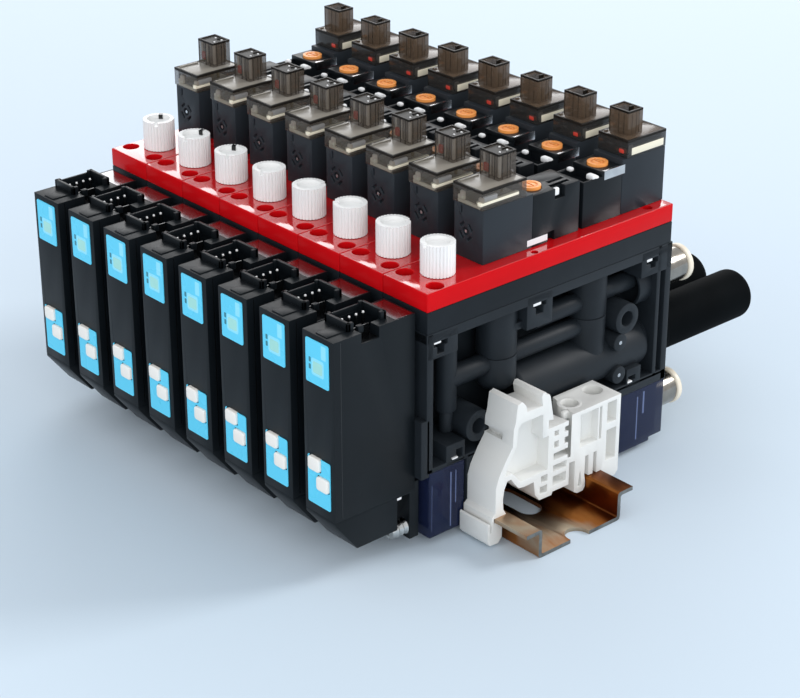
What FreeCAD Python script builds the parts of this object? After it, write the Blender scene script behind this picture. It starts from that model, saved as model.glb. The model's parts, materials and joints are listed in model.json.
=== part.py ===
"""Eight-station manifold of vacuum generators on a top-hat rail, millimetres.

The origin is the centre of the rail's underside. +X runs along the rail towards the first station,
+Y to the tube fittings and silencers at the rear, +Z up. A form is one station's piece, drawn about
x = 0; its copies stand at the station pitch.
"""
import FreeCAD, Part
import os
import re

from FreeCAD import Placement, Rotation, Vector

STATIONS = 8

SIZES = {
    # body, adapter and top plate
    "pitch": 15.0,
    "slice_gap": 0.1,
    "body_front": -30.1,
    "foot_high": 12.0,
    "body_high": 35.2,
    "adapter_high": 5.4,
    "plate_thick": 4.6,
    "plate_margin": 0.2,
    "plate_step": 0.6,
    "rear_floor_drop": 1.8,
    "rear_floor_long": 27.0,
    "web_thick": 3.0,
    "rim_thick": 2.0,
    "rear_rim_thick": 2.0,
    "rib_gap": 1.7,
    "rib_thick": 1.3,
    "floor_thick": 1.2,
    "ceiling_thick": 2.5,
    "plate_hole_back": 4.4,
    "plate_hole_radius": 2.0,
    # needle knob
    "knob_back": 9.8,
    "knob_radius": 4.0,
    "knob_high": 7.7,
    "knob_lift": 0.15,
    "knob_slot_wide": 1.0,
    "knob_slot_deep": 0.7,
    "dish_radius": 2.4,
    "dish_deep": 1.0,
    "stem_radius": 2.0,
    "stem_reach": 4.2,
    "collar_radius": 2.6,
    "collar_high": 1.5,
    "collar_drop": 0.3,
    "stem_play": 0.05,
    # valves
    "valve_offset": -0.7,
    "valve_half": 4.8,
    "coil_back": 19.7,
    "supply_coil_long": 15.5,
    "supply_long": 15.1,
    "valve_gap": 1.2,
    "release_long": 13.0,
    "release_coil_long": 14.7,
    "valve_high": 12.0,
    "supply_coil_high": 13.2,
    "release_coil_high": 13.8,
    "port_radius": 1.0,
    "port_back": 4.0,
    "port_gap": 5.0,
    "supply_button_back": 3.7,
    "release_button_back": 9.5,
    "button_radius": 2.5,
    "button_rise": 1.2,
    "button_high": 3.0,
    "button_travel": 0.8,
    "button_stem": 1.0,
    "button_stem_long": 4.0,
    "button_play": 0.05,
    # connector covers
    "strip_play": 0.3,
    "strip_high": 2.2,
    "cover_wall": 0.9,
    "supply_cover_lap": 0.4,
    "supply_cover_long": 13.7,
    "supply_cover_high": 4.6,
    "release_cover_long": 13.2,
    "release_cover_high": 4.4,
    "roof_thick": 1.2,
    "tower_left_reach": 3.9,
    "tower_right_reach": 2.3,
    "supply_tower_back": 7.2,
    "supply_tower_long": 5.5,
    "supply_tower_high": 6.3,
    "release_tower_back": 2.5,
    "release_tower_long": 5.0,
    "release_tower_high": 5.9,
    "tower_wall": 0.8,
    "contact_radius": 0.4,
    "contact_half_gap": 1.27,
    "contact_sunk": 1.5,
    # vacuum switch
    "switch_half": 5.2,
    "switch_gap": 1.6,
    "switch_deep": 23.4,
    "switch_drop": 3.8,
    "switch_high": 44.3,
    "shroud_edge": 0.2,
    "shroud_wide": 8.0,
    "shroud_back": 6.0,
    "shroud_long": 11.0,
    "shroud_rise": 2.8,
    "shroud_wall": 0.8,
    "shroud_deep": 4.0,
    "notch_wide": 5.1,
    "notch_high": 2.8,
    "pin_size": 0.64,
    "pin_pitch": 2.0,
    "pin_rise": 1.0,
    "pin_aside": 3.5,
    "pin_start": 2.2,
    "film_thick": 0.25,
    "film_margin_left": 1.2,
    "film_margin_right": 1.5,
    "display_margin": 1.3,
    "display_high": 10.6,
    "keyfield_margin": 2.3,
    "keyfield_high": 12.0,
    "key_wide": 4.0,
    "key_high": 3.4,
    "key_rise": 0.85,
    "key_travel": 0.5,
    "key_play": 0.1,
    "key_lip": 0.35,
    "key_lip_thick": 0.9,
    "key_lip_back": 1.0,
    "upper_key_offset": -1.44,
    "upper_key_rise": 10.3,
    "lower_key_offset": 1.4,
    "lower_key_rise": 6.05,
    # switch bracket and set screws
    "bracket_high": 8.8,
    "bracket_slant": 6.2,
    "bracket_slot_back": 18.2,
    "bracket_slot_wide": 3.7,
    "column_high": 11.1,
    "column_reach": 1.2,
    "column_lap": 2.0,
    "screw_radius": 2.05,
    "screw_long": 9.0,
    "screw_slot_wide": 0.8,
    "screw_slot_deep": 1.0,
    "bracket_screw_rise": 2.0,
    "bracket_screw_back": 14.5,
    # pipes of the ejector body
    "pipe_offset": 1.4,
    "stem_pipe_back": 11.3,
    "stem_pipe_radius": 2.5,
    "stem_pipe_rise": 10.7,
    "stem_step": 0.9,
    "front_pipe_back": 27.0,
    "front_pipe_radius": 4.85,
    "front_pipe_rise": 20.5,
    "rear_pipe_back": 57.1,
    "rear_pipe_radius": 4.65,
    "rear_pipe_rise": 21.2,
    "ring_step": 0.3,
    "link_pipe_radius": 2.4,
    "link_pipe_rise": 18.7,
    "upper_link_rise": 6.4,
    "barrel_radius": 6.5,
    "barrel_offset": 0.3,
    "barrel_rise": 8.5,
    "barrel_back": 4.0,
    "barrel_gap": 0.4,
    "neck_radius": 5.2,
    "chamber_radius": 5.6,
    "chamber_bore": 4.8,
    "chamber_offset": 0.5,
    "chamber_back": 70.7,
    "window_deep": 4.0,
    "nozzle_bore": 2.6,
    "nozzle_long": 33.0,
    "nozzle_back": 6.0,
    "eyelet_radius": 3.95,
    "eyelet_bore": 1.9,
    "eyelet_rear_back": 65.1,
    "eyelet_rear_rise": 19.1,
    "eyelet_front_back": 16.2,
    "eyelet_front_rise": 7.2,
    "boss_radius": 2.3,
    "boss_back": 63.1,
    "boss_upper_rise": 13.3,
    "boss_lower_rise": 4.6,
    # feet on the rail
    "foot_inside": 3.5,
    "foot_reach": 2.0,
    "bridge_deep": 5.0,
    "hook_back": 1.3,
    "hook_thick": 1.7,
    "hook_high": 2.5,
    # filter cases and elements
    "case_inset": 0.25,
    "case_wall": 1.2,
    "front_case_margin": 1.3,
    "front_case_gap": 0.4,
    "front_case_high": 17.4,
    "rear_case_gap": 3.0,
    "rear_case_lip": 0.1,
    "rear_case_high": 16.2,
    "case_step_long": 4.5,
    "case_step_high": 1.0,
    "front_element_play": 0.45,
    "front_element_gap": 1.5,
    "rear_element_radius": 5.2,
    "element_cap": 3.0,
    # fittings and silencers
    "fitting_high_rise": 24.2,
    "fitting_low_rise": 8.4,
    "sleeve_radius": 4.4,
    "sleeve_wall": 0.45,
    "tube_bore": 3.05,
    "flow_bore": 2.0,
    "ring_radius": 4.75,
    "ring_thick": 1.7,
    "ring_play": 0.1,
    "sleeve_high_sunk": 2.5,
    "sleeve_low_sunk": 4.1,
    "sleeve_long": 12.6,
    "sleeve_seat_long": 4.0,
    "tube_stop": 1.0,
    "silencer_rise": 9.1,
    "silencer_radius": 6.45,
    "silencer_long": 34.3,
    "silencer_round": 2.5,
    "silencer_bore": 2.6,
    "silencer_wall": 2.2,
    "spigot_radius": 4.0,
    "spigot_long": 2.2,
    "spigot_play": 0.1,
    # rail and end clamps
    "rail_long": 160.0,
    "rail_half": 17.5,
    "channel_half": 13.5,
    "rail_high": 7.5,
    "rail_thick": 1.0,
    "slot_pitch": 25.0,
    "slot_long": 15.0,
    "slot_radius": 3.1,
    "slot_overhang": 3.7,
    "clamp_thick": 9.5,
    "clamp_web": 5.8,
    "clamp_screw_place": 10.9,
    "clamp_hole_place": 19.7,
    "clamp_hole_radius": 2.5,
    "clamp_hole_aside": 1.1,
    "clamp_hole_low": 20.0,
    "clamp_screw_low": 14.0,
}

# Widths, places (y) and levels (z) that follow from the sizes, each a plain sum.
PLACES = {
    "slice_wide": "pitch - slice_gap",
    "body_low": "rail_high + foot_high",
    "body_top": "body_low + body_high",
    "adapter_top": "body_top + adapter_high",
    "plate_top": "adapter_top + plate_thick",
    "body_rear_low": "body_low - rear_floor_drop",
    "knob_place": "body_front + knob_back",
    "coil_front": "body_front + coil_back",
    "supply_seam": "coil_front + supply_coil_long",
    "supply_rear": "supply_seam + supply_long",
    "release_front": "supply_rear + valve_gap",
    "release_seam": "release_front + release_long",
    "coil_rear": "release_seam + release_coil_long",
    "plate_rear": "coil_rear + plate_margin",
    "body_rear": "plate_rear + plate_step",
    "valve_top": "plate_top + valve_high",
    "supply_coil_top": "plate_top + supply_coil_high",
    "release_coil_top": "plate_top + release_coil_high",
    "supply_button_place": "supply_seam + supply_button_back",
    "release_button_place": "release_front + release_button_back",
    "strip_half": "valve_half - cover_wall - strip_play",
    "supply_cover_front": "coil_front - supply_cover_lap",
    "supply_cover_rear": "supply_cover_front + supply_cover_long",
    "supply_cover_top": "supply_coil_top + supply_cover_high",
    "release_cover_front": "coil_rear - release_cover_long",
    "release_cover_top": "release_coil_top + release_cover_high",
    "tower_left": "valve_offset - tower_left_reach",
    "tower_right": "valve_offset + tower_right_reach",
    "supply_tower_front": "supply_cover_front + supply_tower_back",
    "supply_tower_rear": "supply_tower_front + supply_tower_long",
    "supply_tower_top": "supply_cover_top + supply_tower_high",
    "release_tower_front": "release_cover_front + release_tower_back",
    "release_tower_rear": "release_tower_front + release_tower_long",
    "release_tower_top": "release_cover_top + release_tower_high",
    "switch_rear": "body_front - switch_gap",
    "switch_front": "switch_rear - switch_deep",
    "switch_low": "body_low - switch_drop",
    "switch_top": "switch_low + switch_high",
    "shroud_left": "shroud_edge - switch_half",
    "shroud_right": "shroud_left + shroud_wide",
    "shroud_front": "switch_front + shroud_back",
    "shroud_rear": "shroud_front + shroud_long",
    "shroud_floor": "switch_top - shroud_deep",
    "pin_offset": "shroud_left + pin_aside",
    "pin_first": "shroud_front + pin_start",
    "pin_top": "switch_top + pin_rise",
    "film_left": "film_margin_left - switch_half",
    "film_right": "switch_half - film_margin_right",
    "display_top": "switch_top - display_margin",
    "display_low": "display_top - display_high",
    "keyfield_low": "switch_low + keyfield_margin",
    "keyfield_top": "keyfield_low + keyfield_high",
    "upper_key_level": "keyfield_low + upper_key_rise",
    "lower_key_level": "keyfield_low + lower_key_rise",
    "key_lip_rear": "key_lip_back + key_lip_thick",
    "bracket_low": "switch_low - bracket_high",
    "bracket_column_low": "switch_low - column_high",
    "bracket_slot_front": "switch_front + bracket_slot_back",
    "bracket_slot_rear": "bracket_slot_front + bracket_slot_wide",
    "bracket_screw_front": "switch_front + bracket_screw_back",
    "bracket_screw_level": "bracket_low + bracket_screw_rise",
    "stem_pipe_place": "body_front + stem_pipe_back",
    "stem_pipe_low": "body_low + stem_pipe_rise",
    "front_pipe_place": "body_front + front_pipe_back",
    "front_pipe_ring": "body_low + front_pipe_rise",
    "rear_pipe_place": "body_front + rear_pipe_back",
    "rear_pipe_ring": "body_low + rear_pipe_rise",
    "link_pipe_level": "body_low + link_pipe_rise",
    "barrel_level": "body_low + barrel_rise",
    "barrel_front": "front_pipe_place + barrel_back",
    "rib_rear": "body_rear - rear_rim_thick - rib_gap",
    "rib_front": "rib_rear - rib_thick",
    "chamber_front": "body_front + chamber_back",
    "front_case_front": "body_front + front_case_margin",
    "front_case_rear": "0 - rail_half - front_case_gap",
    "front_case_low": "body_low - front_case_high",
    "rear_case_front": "rail_half + rear_case_gap",
    "rear_case_rear": "body_rear + rear_case_lip",
    "rear_case_low": "body_rear_low - rear_case_high",
    "fitting_high_level": "body_low + fitting_high_rise",
    "fitting_low_level": "rear_case_low + fitting_low_rise",
    "sleeve_bore": "sleeve_radius - sleeve_wall",
    "sleeve_high_start": "body_rear - sleeve_high_sunk",
    "sleeve_low_start": "rear_case_rear - sleeve_low_sunk",
    "silencer_level": "body_low + silencer_rise",
    "silencer_end": "body_rear + silencer_long",
}

KNOB_TURNS = (0.0, 150.0, -60.0, 150.0, 20.0, 60.0, 130.0, 90.0)

ALONG_X = Rotation(Vector(0, 1, 0), 90)
ALONG_Y = Rotation(Vector(1, 0, 0), -90)
ALONG_Z = Rotation()

doc = FreeCAD.newDocument("vacuum_generator")
sizes = doc.addObject("Spreadsheet::Sheet", "sizes")
for line, (alias, value) in enumerate(SIZES.items(), start=1):
    sizes.set(f"A{line}", alias)
    sizes.set(f"B{line}", str(value))
    sizes.setAlias(f"B{line}", alias)
doc.recompute()


def size(name):
    """The value of a driving dimension, or of a place that is a sum of them."""
    if name not in PLACES:
        return float(sizes.get(name)) if name in SIZES else float(name)
    total, sign = 0.0, 1
    for word in PLACES[name].split():
        if word in "+-":
            sign = 1 if word == "+" else -1
        else:
            total += sign * size(word)
    return total


def spelled(match):
    """A name as the sheet knows it: a driving dimension, or a place as its sum."""
    name = match.group()
    return f"({expression(PLACES[name])})" if name in PLACES else f"sizes.{name}"


def expression(text):
    return re.sub(r"\b[a-z][a-z_]+\b", spelled, text)


def bind(item, field, text):
    """Bind a property to an expression of sizes and places."""
    item.setExpression(field, expression(text))


def block(name, x, y, z):
    """A box between pairs of limits."""
    item = doc.addObject("Part::Box", name)
    for field, axis, (low, high) in (("Length", "x", x), ("Width", "y", y), ("Height", "z", z)):
        bind(item, field, f"({high}) - ({low})")
        bind(item, f"Placement.Base.{axis}", low)
    return item


def rod(name, turn, radius, at, length):
    """A cylinder that starts at a point and runs along one axis."""
    item = doc.addObject("Part::Cylinder", name)
    item.Placement = Placement(Vector(), turn)
    bind(item, "Radius", radius)
    bind(item, "Height", length)
    for axis, place in zip("xyz", at):
        bind(item, f"Placement.Base.{axis}", place)
    return item


def fuse(name, *items):
    item = doc.addObject("Part::MultiFuse", name)
    item.Shapes = list(items)
    return item


def cut(name, base, *tools):
    """The base less its tools."""
    item = doc.addObject("Part::Cut", name)
    item.Base = base
    item.Tool = tools[0] if len(tools) == 1 else fuse(f"{name}_tools", *tools)
    return item


def profile(name, points, start, thick):
    """A plate of constant thickness along X with an outline of (y, z) points."""
    corners = [Vector(0, y, z) for y, z in points]
    wire = Part.makePolygon(corners + corners[:1])
    face = doc.addObject("Part::Feature", f"{name}_outline")
    face.Shape = Part.Face(wire)
    item = doc.addObject("Part::Extrusion", name)
    item.Base = face
    item.DirMode = "Custom"
    item.Dir = Vector(1, 0, 0)
    item.Solid = True
    bind(item, "LengthFwd", thick)
    bind(item, "Placement.Base.x", start)
    return item


def placed(name, form, x, turn=0.0):
    """A copy of a form at a station."""
    item = doc.addObject("App::Link", name)
    item.LinkedObject = form
    item.LinkTransform = True
    item.Placement = Placement(Vector(), Rotation(Vector(0, 0, 1), turn))
    bind(item, "Placement.Base.x", x)
    return item


def station_x(number):
    """The centre of a station, counted from 1 at the +X end."""
    return f"pitch * ({(STATIONS + 1) / 2 - number})"


def node(label, *items):
    """A named sub-part made of its copies."""
    item = doc.addObject("Part::Compound", label)
    item.Label = label
    item.Links = list(items)
    return item


def row(label, form):
    """A sub-part with one copy of the form at each station."""
    copies = [placed(f"{label}_{n}", form, station_x(n)) for n in range(1, STATIONS + 1)]
    return node(label, *copies)


SLICE = ("0 - slice_wide / 2", "slice_wide / 2")
VALVE = ("valve_offset - valve_half", "valve_offset + valve_half")
SWITCH = ("0 - switch_half", "switch_half")
CASE = ("case_inset - slice_wide / 2", "slice_wide / 2 - case_inset")


def sunk(place_y, level, radius, depth, name, x="0"):
    """A vertical bore from a level downwards."""
    return rod(name, ALONG_Z, radius, (x, place_y, f"{level} - ({depth})"), f"{depth} + 0.5")


def valve_ports(name, low, length):
    """Two vertical ports under each valve."""
    places = {"supply": "supply_seam + port_back", "supply_out": "supply_seam + port_back + port_gap",
              "release": "release_front + port_back", "release_out": "release_front + port_back + port_gap"}
    return [rod(f"{name}_{key}", ALONG_Z, "port_radius", ("valve_offset", place, low), length)
            for key, place in places.items()]


def make_top_plates():
    """Glossy top plate with screw holes and the bore of the needle stem."""
    plate = block("plate_block", SLICE, ("body_front", "plate_rear"), ("adapter_top", "plate_top"))
    low, through = "adapter_top - 1", "plate_thick + 2"
    screw_row = "body_front + plate_hole_back"
    holes = [rod(f"plate_screw_{side}", ALONG_Z, "plate_hole_radius", (x, screw_row, low), through)
             for side, x in (("left", "0 - pitch / 3"), ("right", "pitch / 3"))]
    holes.append(rod("plate_stem", ALONG_Z, "stem_radius + stem_play", ("0", "knob_place", low), through))
    side_hole = ("valve_offset + valve_half + 2.2", "supply_seam - 1.3", low)
    holes.append(rod("plate_side_hole", ALONG_Z, "0.9", side_hole, through))
    rear_hole = ("valve_offset + valve_half + 1.6", "release_seam + 8.2", low)
    holes.append(rod("plate_rear_hole", ALONG_Z, "1.2", rear_hole, through))
    holes += valve_ports("plate_port", low, through)
    return row("top_plates", cut("plate_form", plate, *holes))


def make_adapter_blocks():
    """Block between plate and body: pocket of the stem's collar, needle seat and valve ports."""
    base = block("adapter_block", SLICE, ("body_front", "plate_rear"), ("body_top", "adapter_top"))
    pocket = sunk("knob_place", "adapter_top", "collar_radius + stem_play",
                  "collar_high + 2 * collar_drop + 0.1", "adapter_pocket")
    needle = sunk("knob_place", "adapter_top", "stem_radius + stem_play", "stem_reach + 0.6",
                  "adapter_needle")
    screws = [sunk("body_front + plate_hole_back", "adapter_top", "1.4", "adapter_high - 1.4",
                   f"adapter_screw_{side}", x)
              for side, x in (("left", "0 - pitch / 3"), ("right", "pitch / 3"))]
    ports = valve_ports("adapter_port", "body_top - 0.5", "adapter_high + 1")
    return row("adapter_blocks", cut("adapter_form", base, pocket, needle, *screws, *ports))


def make_knobs():
    """Needle knobs with a dished, slotted top and a captive stem."""
    top = "plate_top + knob_high"
    head = rod("knob_head", ALONG_Z, "knob_radius", ("0", "knob_place", "plate_top + knob_lift"),
               "knob_high - knob_lift")
    dish = rod("knob_dish", ALONG_Z, "dish_radius", ("0", "knob_place", f"{top} - dish_deep"),
               "dish_deep + 1")
    slot = block("knob_slot", ("0 - knob_slot_wide / 2", "knob_slot_wide / 2"),
                 ("knob_place - knob_radius - 1", "knob_place"), (f"{top} - knob_slot_deep", f"{top} + 1"))
    stem = rod("knob_stem", ALONG_Z, "stem_radius", ("0", "knob_place", "adapter_top - stem_reach"),
               "stem_reach + plate_thick + knob_lift + 1")
    collar = rod("knob_collar", ALONG_Z, "collar_radius",
                 ("0", "knob_place", "adapter_top - collar_high - collar_drop"), "collar_high")
    form = cut("knob_form", fuse("knob_solid", head, stem, collar), dish, slot)
    form_axis = placed("knob_on_axis", form, "0")
    bind(form_axis, "Placement.Base.y", "0 - knob_place")
    centred = node("knob_centred", form_axis)
    for number, turn in enumerate(KNOB_TURNS, start=1):
        copy = placed(f"knob_copy_{number}", centred, station_x(number), turn)
        bind(copy, "Placement.Base.y", "knob_place")
        yield node(f"knob_{number}", copy)


def button_wells(name, place):
    """Guide of an override button's head and the bore of its stem."""
    deep = "button_high - button_rise + button_travel"
    head = sunk(place, "valve_top", "button_radius + button_play", deep, f"{name}_well", "valve_offset")
    stem = sunk(place, "valve_top", "button_stem + button_play", f"{deep} + button_stem_long + 0.7",
                f"{name}_stem_bore", "valve_offset")
    return head, stem


def make_valves():
    """Supply and release valves: bodies in one sub-part, coil housings in the other."""
    ports = valve_ports("valve_port", "plate_top - 1", "3")
    supply = block("supply_body", VALVE, ("supply_seam", "supply_rear"), ("plate_top", "valve_top"))
    release = block("release_body", VALVE, ("release_front", "release_seam"), ("plate_top", "valve_top"))
    supply_coil = block("supply_coil", VALVE, ("coil_front", "supply_seam"), ("plate_top", "supply_coil_top"))
    release_coil = block("release_coil", VALVE, ("release_seam", "coil_rear"),
                         ("plate_top", "release_coil_top"))
    forms = [cut("supply_form", supply, *button_wells("supply", "supply_button_place"), *ports[:2]),
             cut("release_form", release, *button_wells("release", "release_button_place"), *ports[2:])]
    for label, pair in (("valve_bodies", forms), ("coil_housings", [supply_coil, release_coil])):
        yield node(label, *[placed(f"{form.Name}_{n}", form, station_x(n))
                            for form in pair for n in range(1, STATIONS + 1)])


def make_overrides():
    """Manual override buttons with their guide stems."""
    for kind in ("supply", "release"):
        place = f"{kind}_button_place"
        low = "valve_top + button_rise - button_high"
        head = rod(f"{kind}_button_head", ALONG_Z, "button_radius", ("valve_offset", place, low),
                   "button_high")
        stem = rod(f"{kind}_button_stem", ALONG_Z, "button_stem",
                   ("valve_offset", place, f"{low} - button_stem_long"), "button_stem_long + 1")
        form = fuse(f"{kind}_button_form", head, stem)
        for number in range(1, STATIONS + 1):
            yield node(f"{kind}_override_{number}",
                       placed(f"{kind}_button_copy_{number}", form, station_x(number)))


def contact_pair(name, radius, place, low, high):
    """Two round pins at the contacts of a plug socket."""
    centre = "(tower_left + tower_right) / 2"
    return [rod(f"{name}_{side}", ALONG_Z, radius,
                (f"{centre} {sign} contact_half_gap", place, low), f"({high}) - ({low})")
            for side, sign in (("left", "-"), ("right", "+"))]


def cover_form(name, rear):
    """Smoky cover over the terminal strip, with an open plug socket on its roof."""
    front, base, top = f"{name}_cover_front", f"{name}_coil_top", f"{name}_cover_top"
    tower_front, tower_rear, tower_top = f"{name}_tower_front", f"{name}_tower_rear", f"{name}_tower_top"
    shell = block(f"{name}_shell", VALVE, (front, rear), (base, top))
    tower = block(f"{name}_tower", ("tower_left", "tower_right"), (tower_front, tower_rear),
                  (f"{top} - 0.5", tower_top))
    inside = block(f"{name}_inside",
                   ("valve_offset - valve_half + cover_wall", "valve_offset + valve_half - cover_wall"),
                   (f"{front} + cover_wall", f"{rear} - cover_wall"), (f"{base} - 1", f"{top} - roof_thick"))
    socket = block(f"{name}_socket", ("tower_left + tower_wall", "tower_right - tower_wall"),
                   (f"{tower_front} + tower_wall", f"{tower_rear} - tower_wall"), (top, f"{tower_top} + 1"))
    holes = contact_pair(f"{name}_contact_hole", "contact_radius + 0.1",
                         f"({tower_front} + {tower_rear}) / 2", f"{top} - roof_thick - 1", f"{top} + 1")
    return cut(f"{name}_cover_form", fuse(f"{name}_cover_solid", shell, tower), inside, socket, *holes)


def make_connectors():
    """Terminal strips, covers and the metal contacts of the valves and of the switches."""
    strips, contacts = [], []
    strip_x = ("valve_offset - strip_half", "valve_offset + strip_half")
    for name, rear in (("supply", "supply_cover_rear"), ("release", "coil_rear")):
        base, strip_top = f"{name}_coil_top", f"{name}_coil_top + strip_high"
        strips.append(block(f"{name}_strip", strip_x,
                            (f"{name}_cover_front + cover_wall + strip_play",
                             f"{rear} - cover_wall - 0.1"), (base, strip_top)))
        contacts += contact_pair(f"{name}_contact", "contact_radius",
                                 f"({name}_tower_front + {name}_tower_rear) / 2", strip_top,
                                 f"{name}_tower_top - contact_sunk")
    for count in range(4):
        front = f"pin_first + {count} * pin_pitch"
        contacts.append(block(f"header_pin_{count + 1}",
                              ("pin_offset - pin_size / 2", "pin_offset + pin_size / 2"),
                              (front, f"{front} + pin_size"), ("shroud_floor", "pin_top")))
    covers = node("cover_pair", cover_form("supply", "supply_cover_rear"), cover_form("release", "coil_rear"))
    yield row("terminal_strips", node("strip_pair", *strips))
    yield row("connector_covers", covers)
    yield row("contact_pins", node("contact_set", *contacts))


def key_block(name, kind, front, rear, grow_x, grow_z):
    """A box about the centre of a set button."""
    offset, level = f"{kind}_offset", f"{kind}_level"
    half_x, half_z = f"(key_wide / 2 + {grow_x})", f"(key_high / 2 + {grow_z})"
    return block(f"{kind}_{name}", (f"{offset} - {half_x}", f"{offset} + {half_x}"),
                 (f"switch_front + {front}", f"switch_front + {rear}"),
                 (f"{level} - {half_z}", f"{level} + {half_z}"))


def make_switches():
    """Switch housing with its header shroud, films and set buttons."""
    case = block("switch_block", SWITCH, ("switch_front", "switch_rear"), ("switch_low", "switch_top"))
    shroud = block("switch_shroud", ("shroud_left", "shroud_right"), ("shroud_front", "shroud_rear"),
                   ("switch_top - 1", "switch_top + shroud_rise"))
    well = block("shroud_well", ("shroud_left + shroud_wall", "shroud_right - shroud_wall"),
                 ("shroud_front + shroud_wall", "shroud_rear - shroud_wall"),
                 ("shroud_floor", "switch_top + shroud_rise + 1"))
    notch_front = "shroud_front + 1.9"
    notch = block("switch_notch", ("switch_half - 1", "switch_half + 1"),
                  (notch_front, f"{notch_front} + notch_wide"), ("switch_top - notch_high", "switch_top + 1"))
    film_y = ("switch_front - film_thick", "switch_front")
    display = block("display_film", ("film_left", "film_right"), film_y, ("display_low", "display_top"))
    keyfield = block("keyfield_block", ("film_left", "film_right"), film_y, ("keyfield_low", "keyfield_top"))
    tools, windows, buttons = [well, notch], [], {}
    for kind in ("upper_key", "lower_key"):
        tools.append(key_block("bore", kind, "0 - 1", "key_lip_rear", "key_play", "key_play"))
        tools.append(key_block("pocket", kind, "key_lip_back - key_play", "key_lip_rear + key_travel + 0.2",
                               "key_lip + key_play", "key_play"))
        windows.append(key_block("window", kind, "0 - 1", "1", "key_play", "key_play"))
        cap = key_block("cap", kind, "0 - key_rise", "key_lip_rear - 0.4", "0", "0")
        lip = key_block("lip", kind, "key_lip_back", "key_lip_rear", "key_lip", "0")
        buttons[kind] = fuse(f"{kind}_form", cap, lip)
    form = cut("switch_form", fuse("switch_solid", case, shroud), *tools)
    yield row("switch_housings", form)
    yield row("switch_films", node("film_set", display, cut("keyfield_form", keyfield, *windows)))
    for kind, button in buttons.items():
        for number in range(1, STATIONS + 1):
            yield node(f"{kind}_{number}", placed(f"{kind}_copy_{number}", button, station_x(number)))


def make_brackets():
    """Bracket under each switch: slanted front, screw slot and rear column."""
    low, column_low, top = size("bracket_low"), size("bracket_column_low"), size("switch_low")
    front, rear = size("switch_front"), size("switch_rear")
    slant = front + size("bracket_slant")
    column = size("bracket_slot_rear") - 1.6
    lap, reach = top + size("column_lap"), rear + size("column_reach")
    points = [(front, top), (front, top - 0.8), (slant, low), (column, low), (column, column_low),
              (reach, column_low), (reach, lap), (rear, lap), (rear, top)]
    plate = profile("bracket_plate", points, "0 - switch_half", "2 * switch_half")
    slot = block("bracket_slot", ("0 - switch_half - 1", "switch_half + 1"),
                 ("bracket_slot_front", "bracket_slot_rear"), ("bracket_column_low - 1", "switch_low - 0.5"))
    bore = rod("bracket_bore", ALONG_Y, "screw_radius",
               ("0", "bracket_screw_front", "bracket_screw_level"), "screw_long")
    return row("switch_brackets", cut("bracket_form", plate, slot, bore))


def pipe(name, place, radius, ring, low):
    """Vertical moulded pipe with a smaller lower part under its ring."""
    at = ("pipe_offset", place)
    upper = rod(f"{name}_upper", ALONG_Z, radius, (*at, ring), f"body_top - 1 - ({ring})")
    lower = rod(f"{name}_lower", ALONG_Z, f"{radius} - ring_step", (*at, low), f"{ring} - ({low}) + 0.2")
    return [upper, lower]


def link(name, radius, front, rear, level):
    """Level moulded pipe between two places."""
    return rod(name, ALONG_Y, radius, ("pipe_offset", front, level), f"{rear} - ({front})")


# Stub of each eyelet and boss on the open face: radius, distance from the front, height over the floor.
STUBS = {
    "eyelet_rear": ("eyelet_radius", "eyelet_rear_back", "eyelet_rear_rise"),
    "eyelet_front": ("eyelet_radius", "eyelet_front_back", "eyelet_front_rise"),
    "boss_upper": ("boss_radius", "boss_back", "boss_upper_rise"),
    "boss_lower": ("boss_radius", "boss_back", "boss_lower_rise"),
}

# Windows of the open face: from and to behind the front, edge they are measured from, low and high
# against it. Each window is a wide slot with a narrower notch under it.
OPEN_FACE = {
    "window_front": (2.1, 6.2, "body_top", -3.7, -2.1),
    "notch_front": (3.1, 5.2, "body_top", -5.5, -3.0),
    "window_middle": (32.9, 37.1, "body_top", -3.6, -2.1),
    "notch_middle": (33.8, 36.2, "body_top", -5.4, -3.0),
    "window_rear": (71.1, 75.3, "body_top", -3.8, -2.1),
    "notch_rear": (72.5, 74.3, "body_top", -5.1, -3.0),
    "latch_front_low": (7.7, 11.2, "body_low", 0.2, 1.9),
    "latch_front_high": (9.2, 11.2, "body_low", 1.5, 3.5),
    "latch_rear_low": (66.3, 68.4, "body_low", 0.3, 1.9),
    "latch_rear_high": (66.5, 69.0, "body_low", 1.5, 3.0),
}


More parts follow.
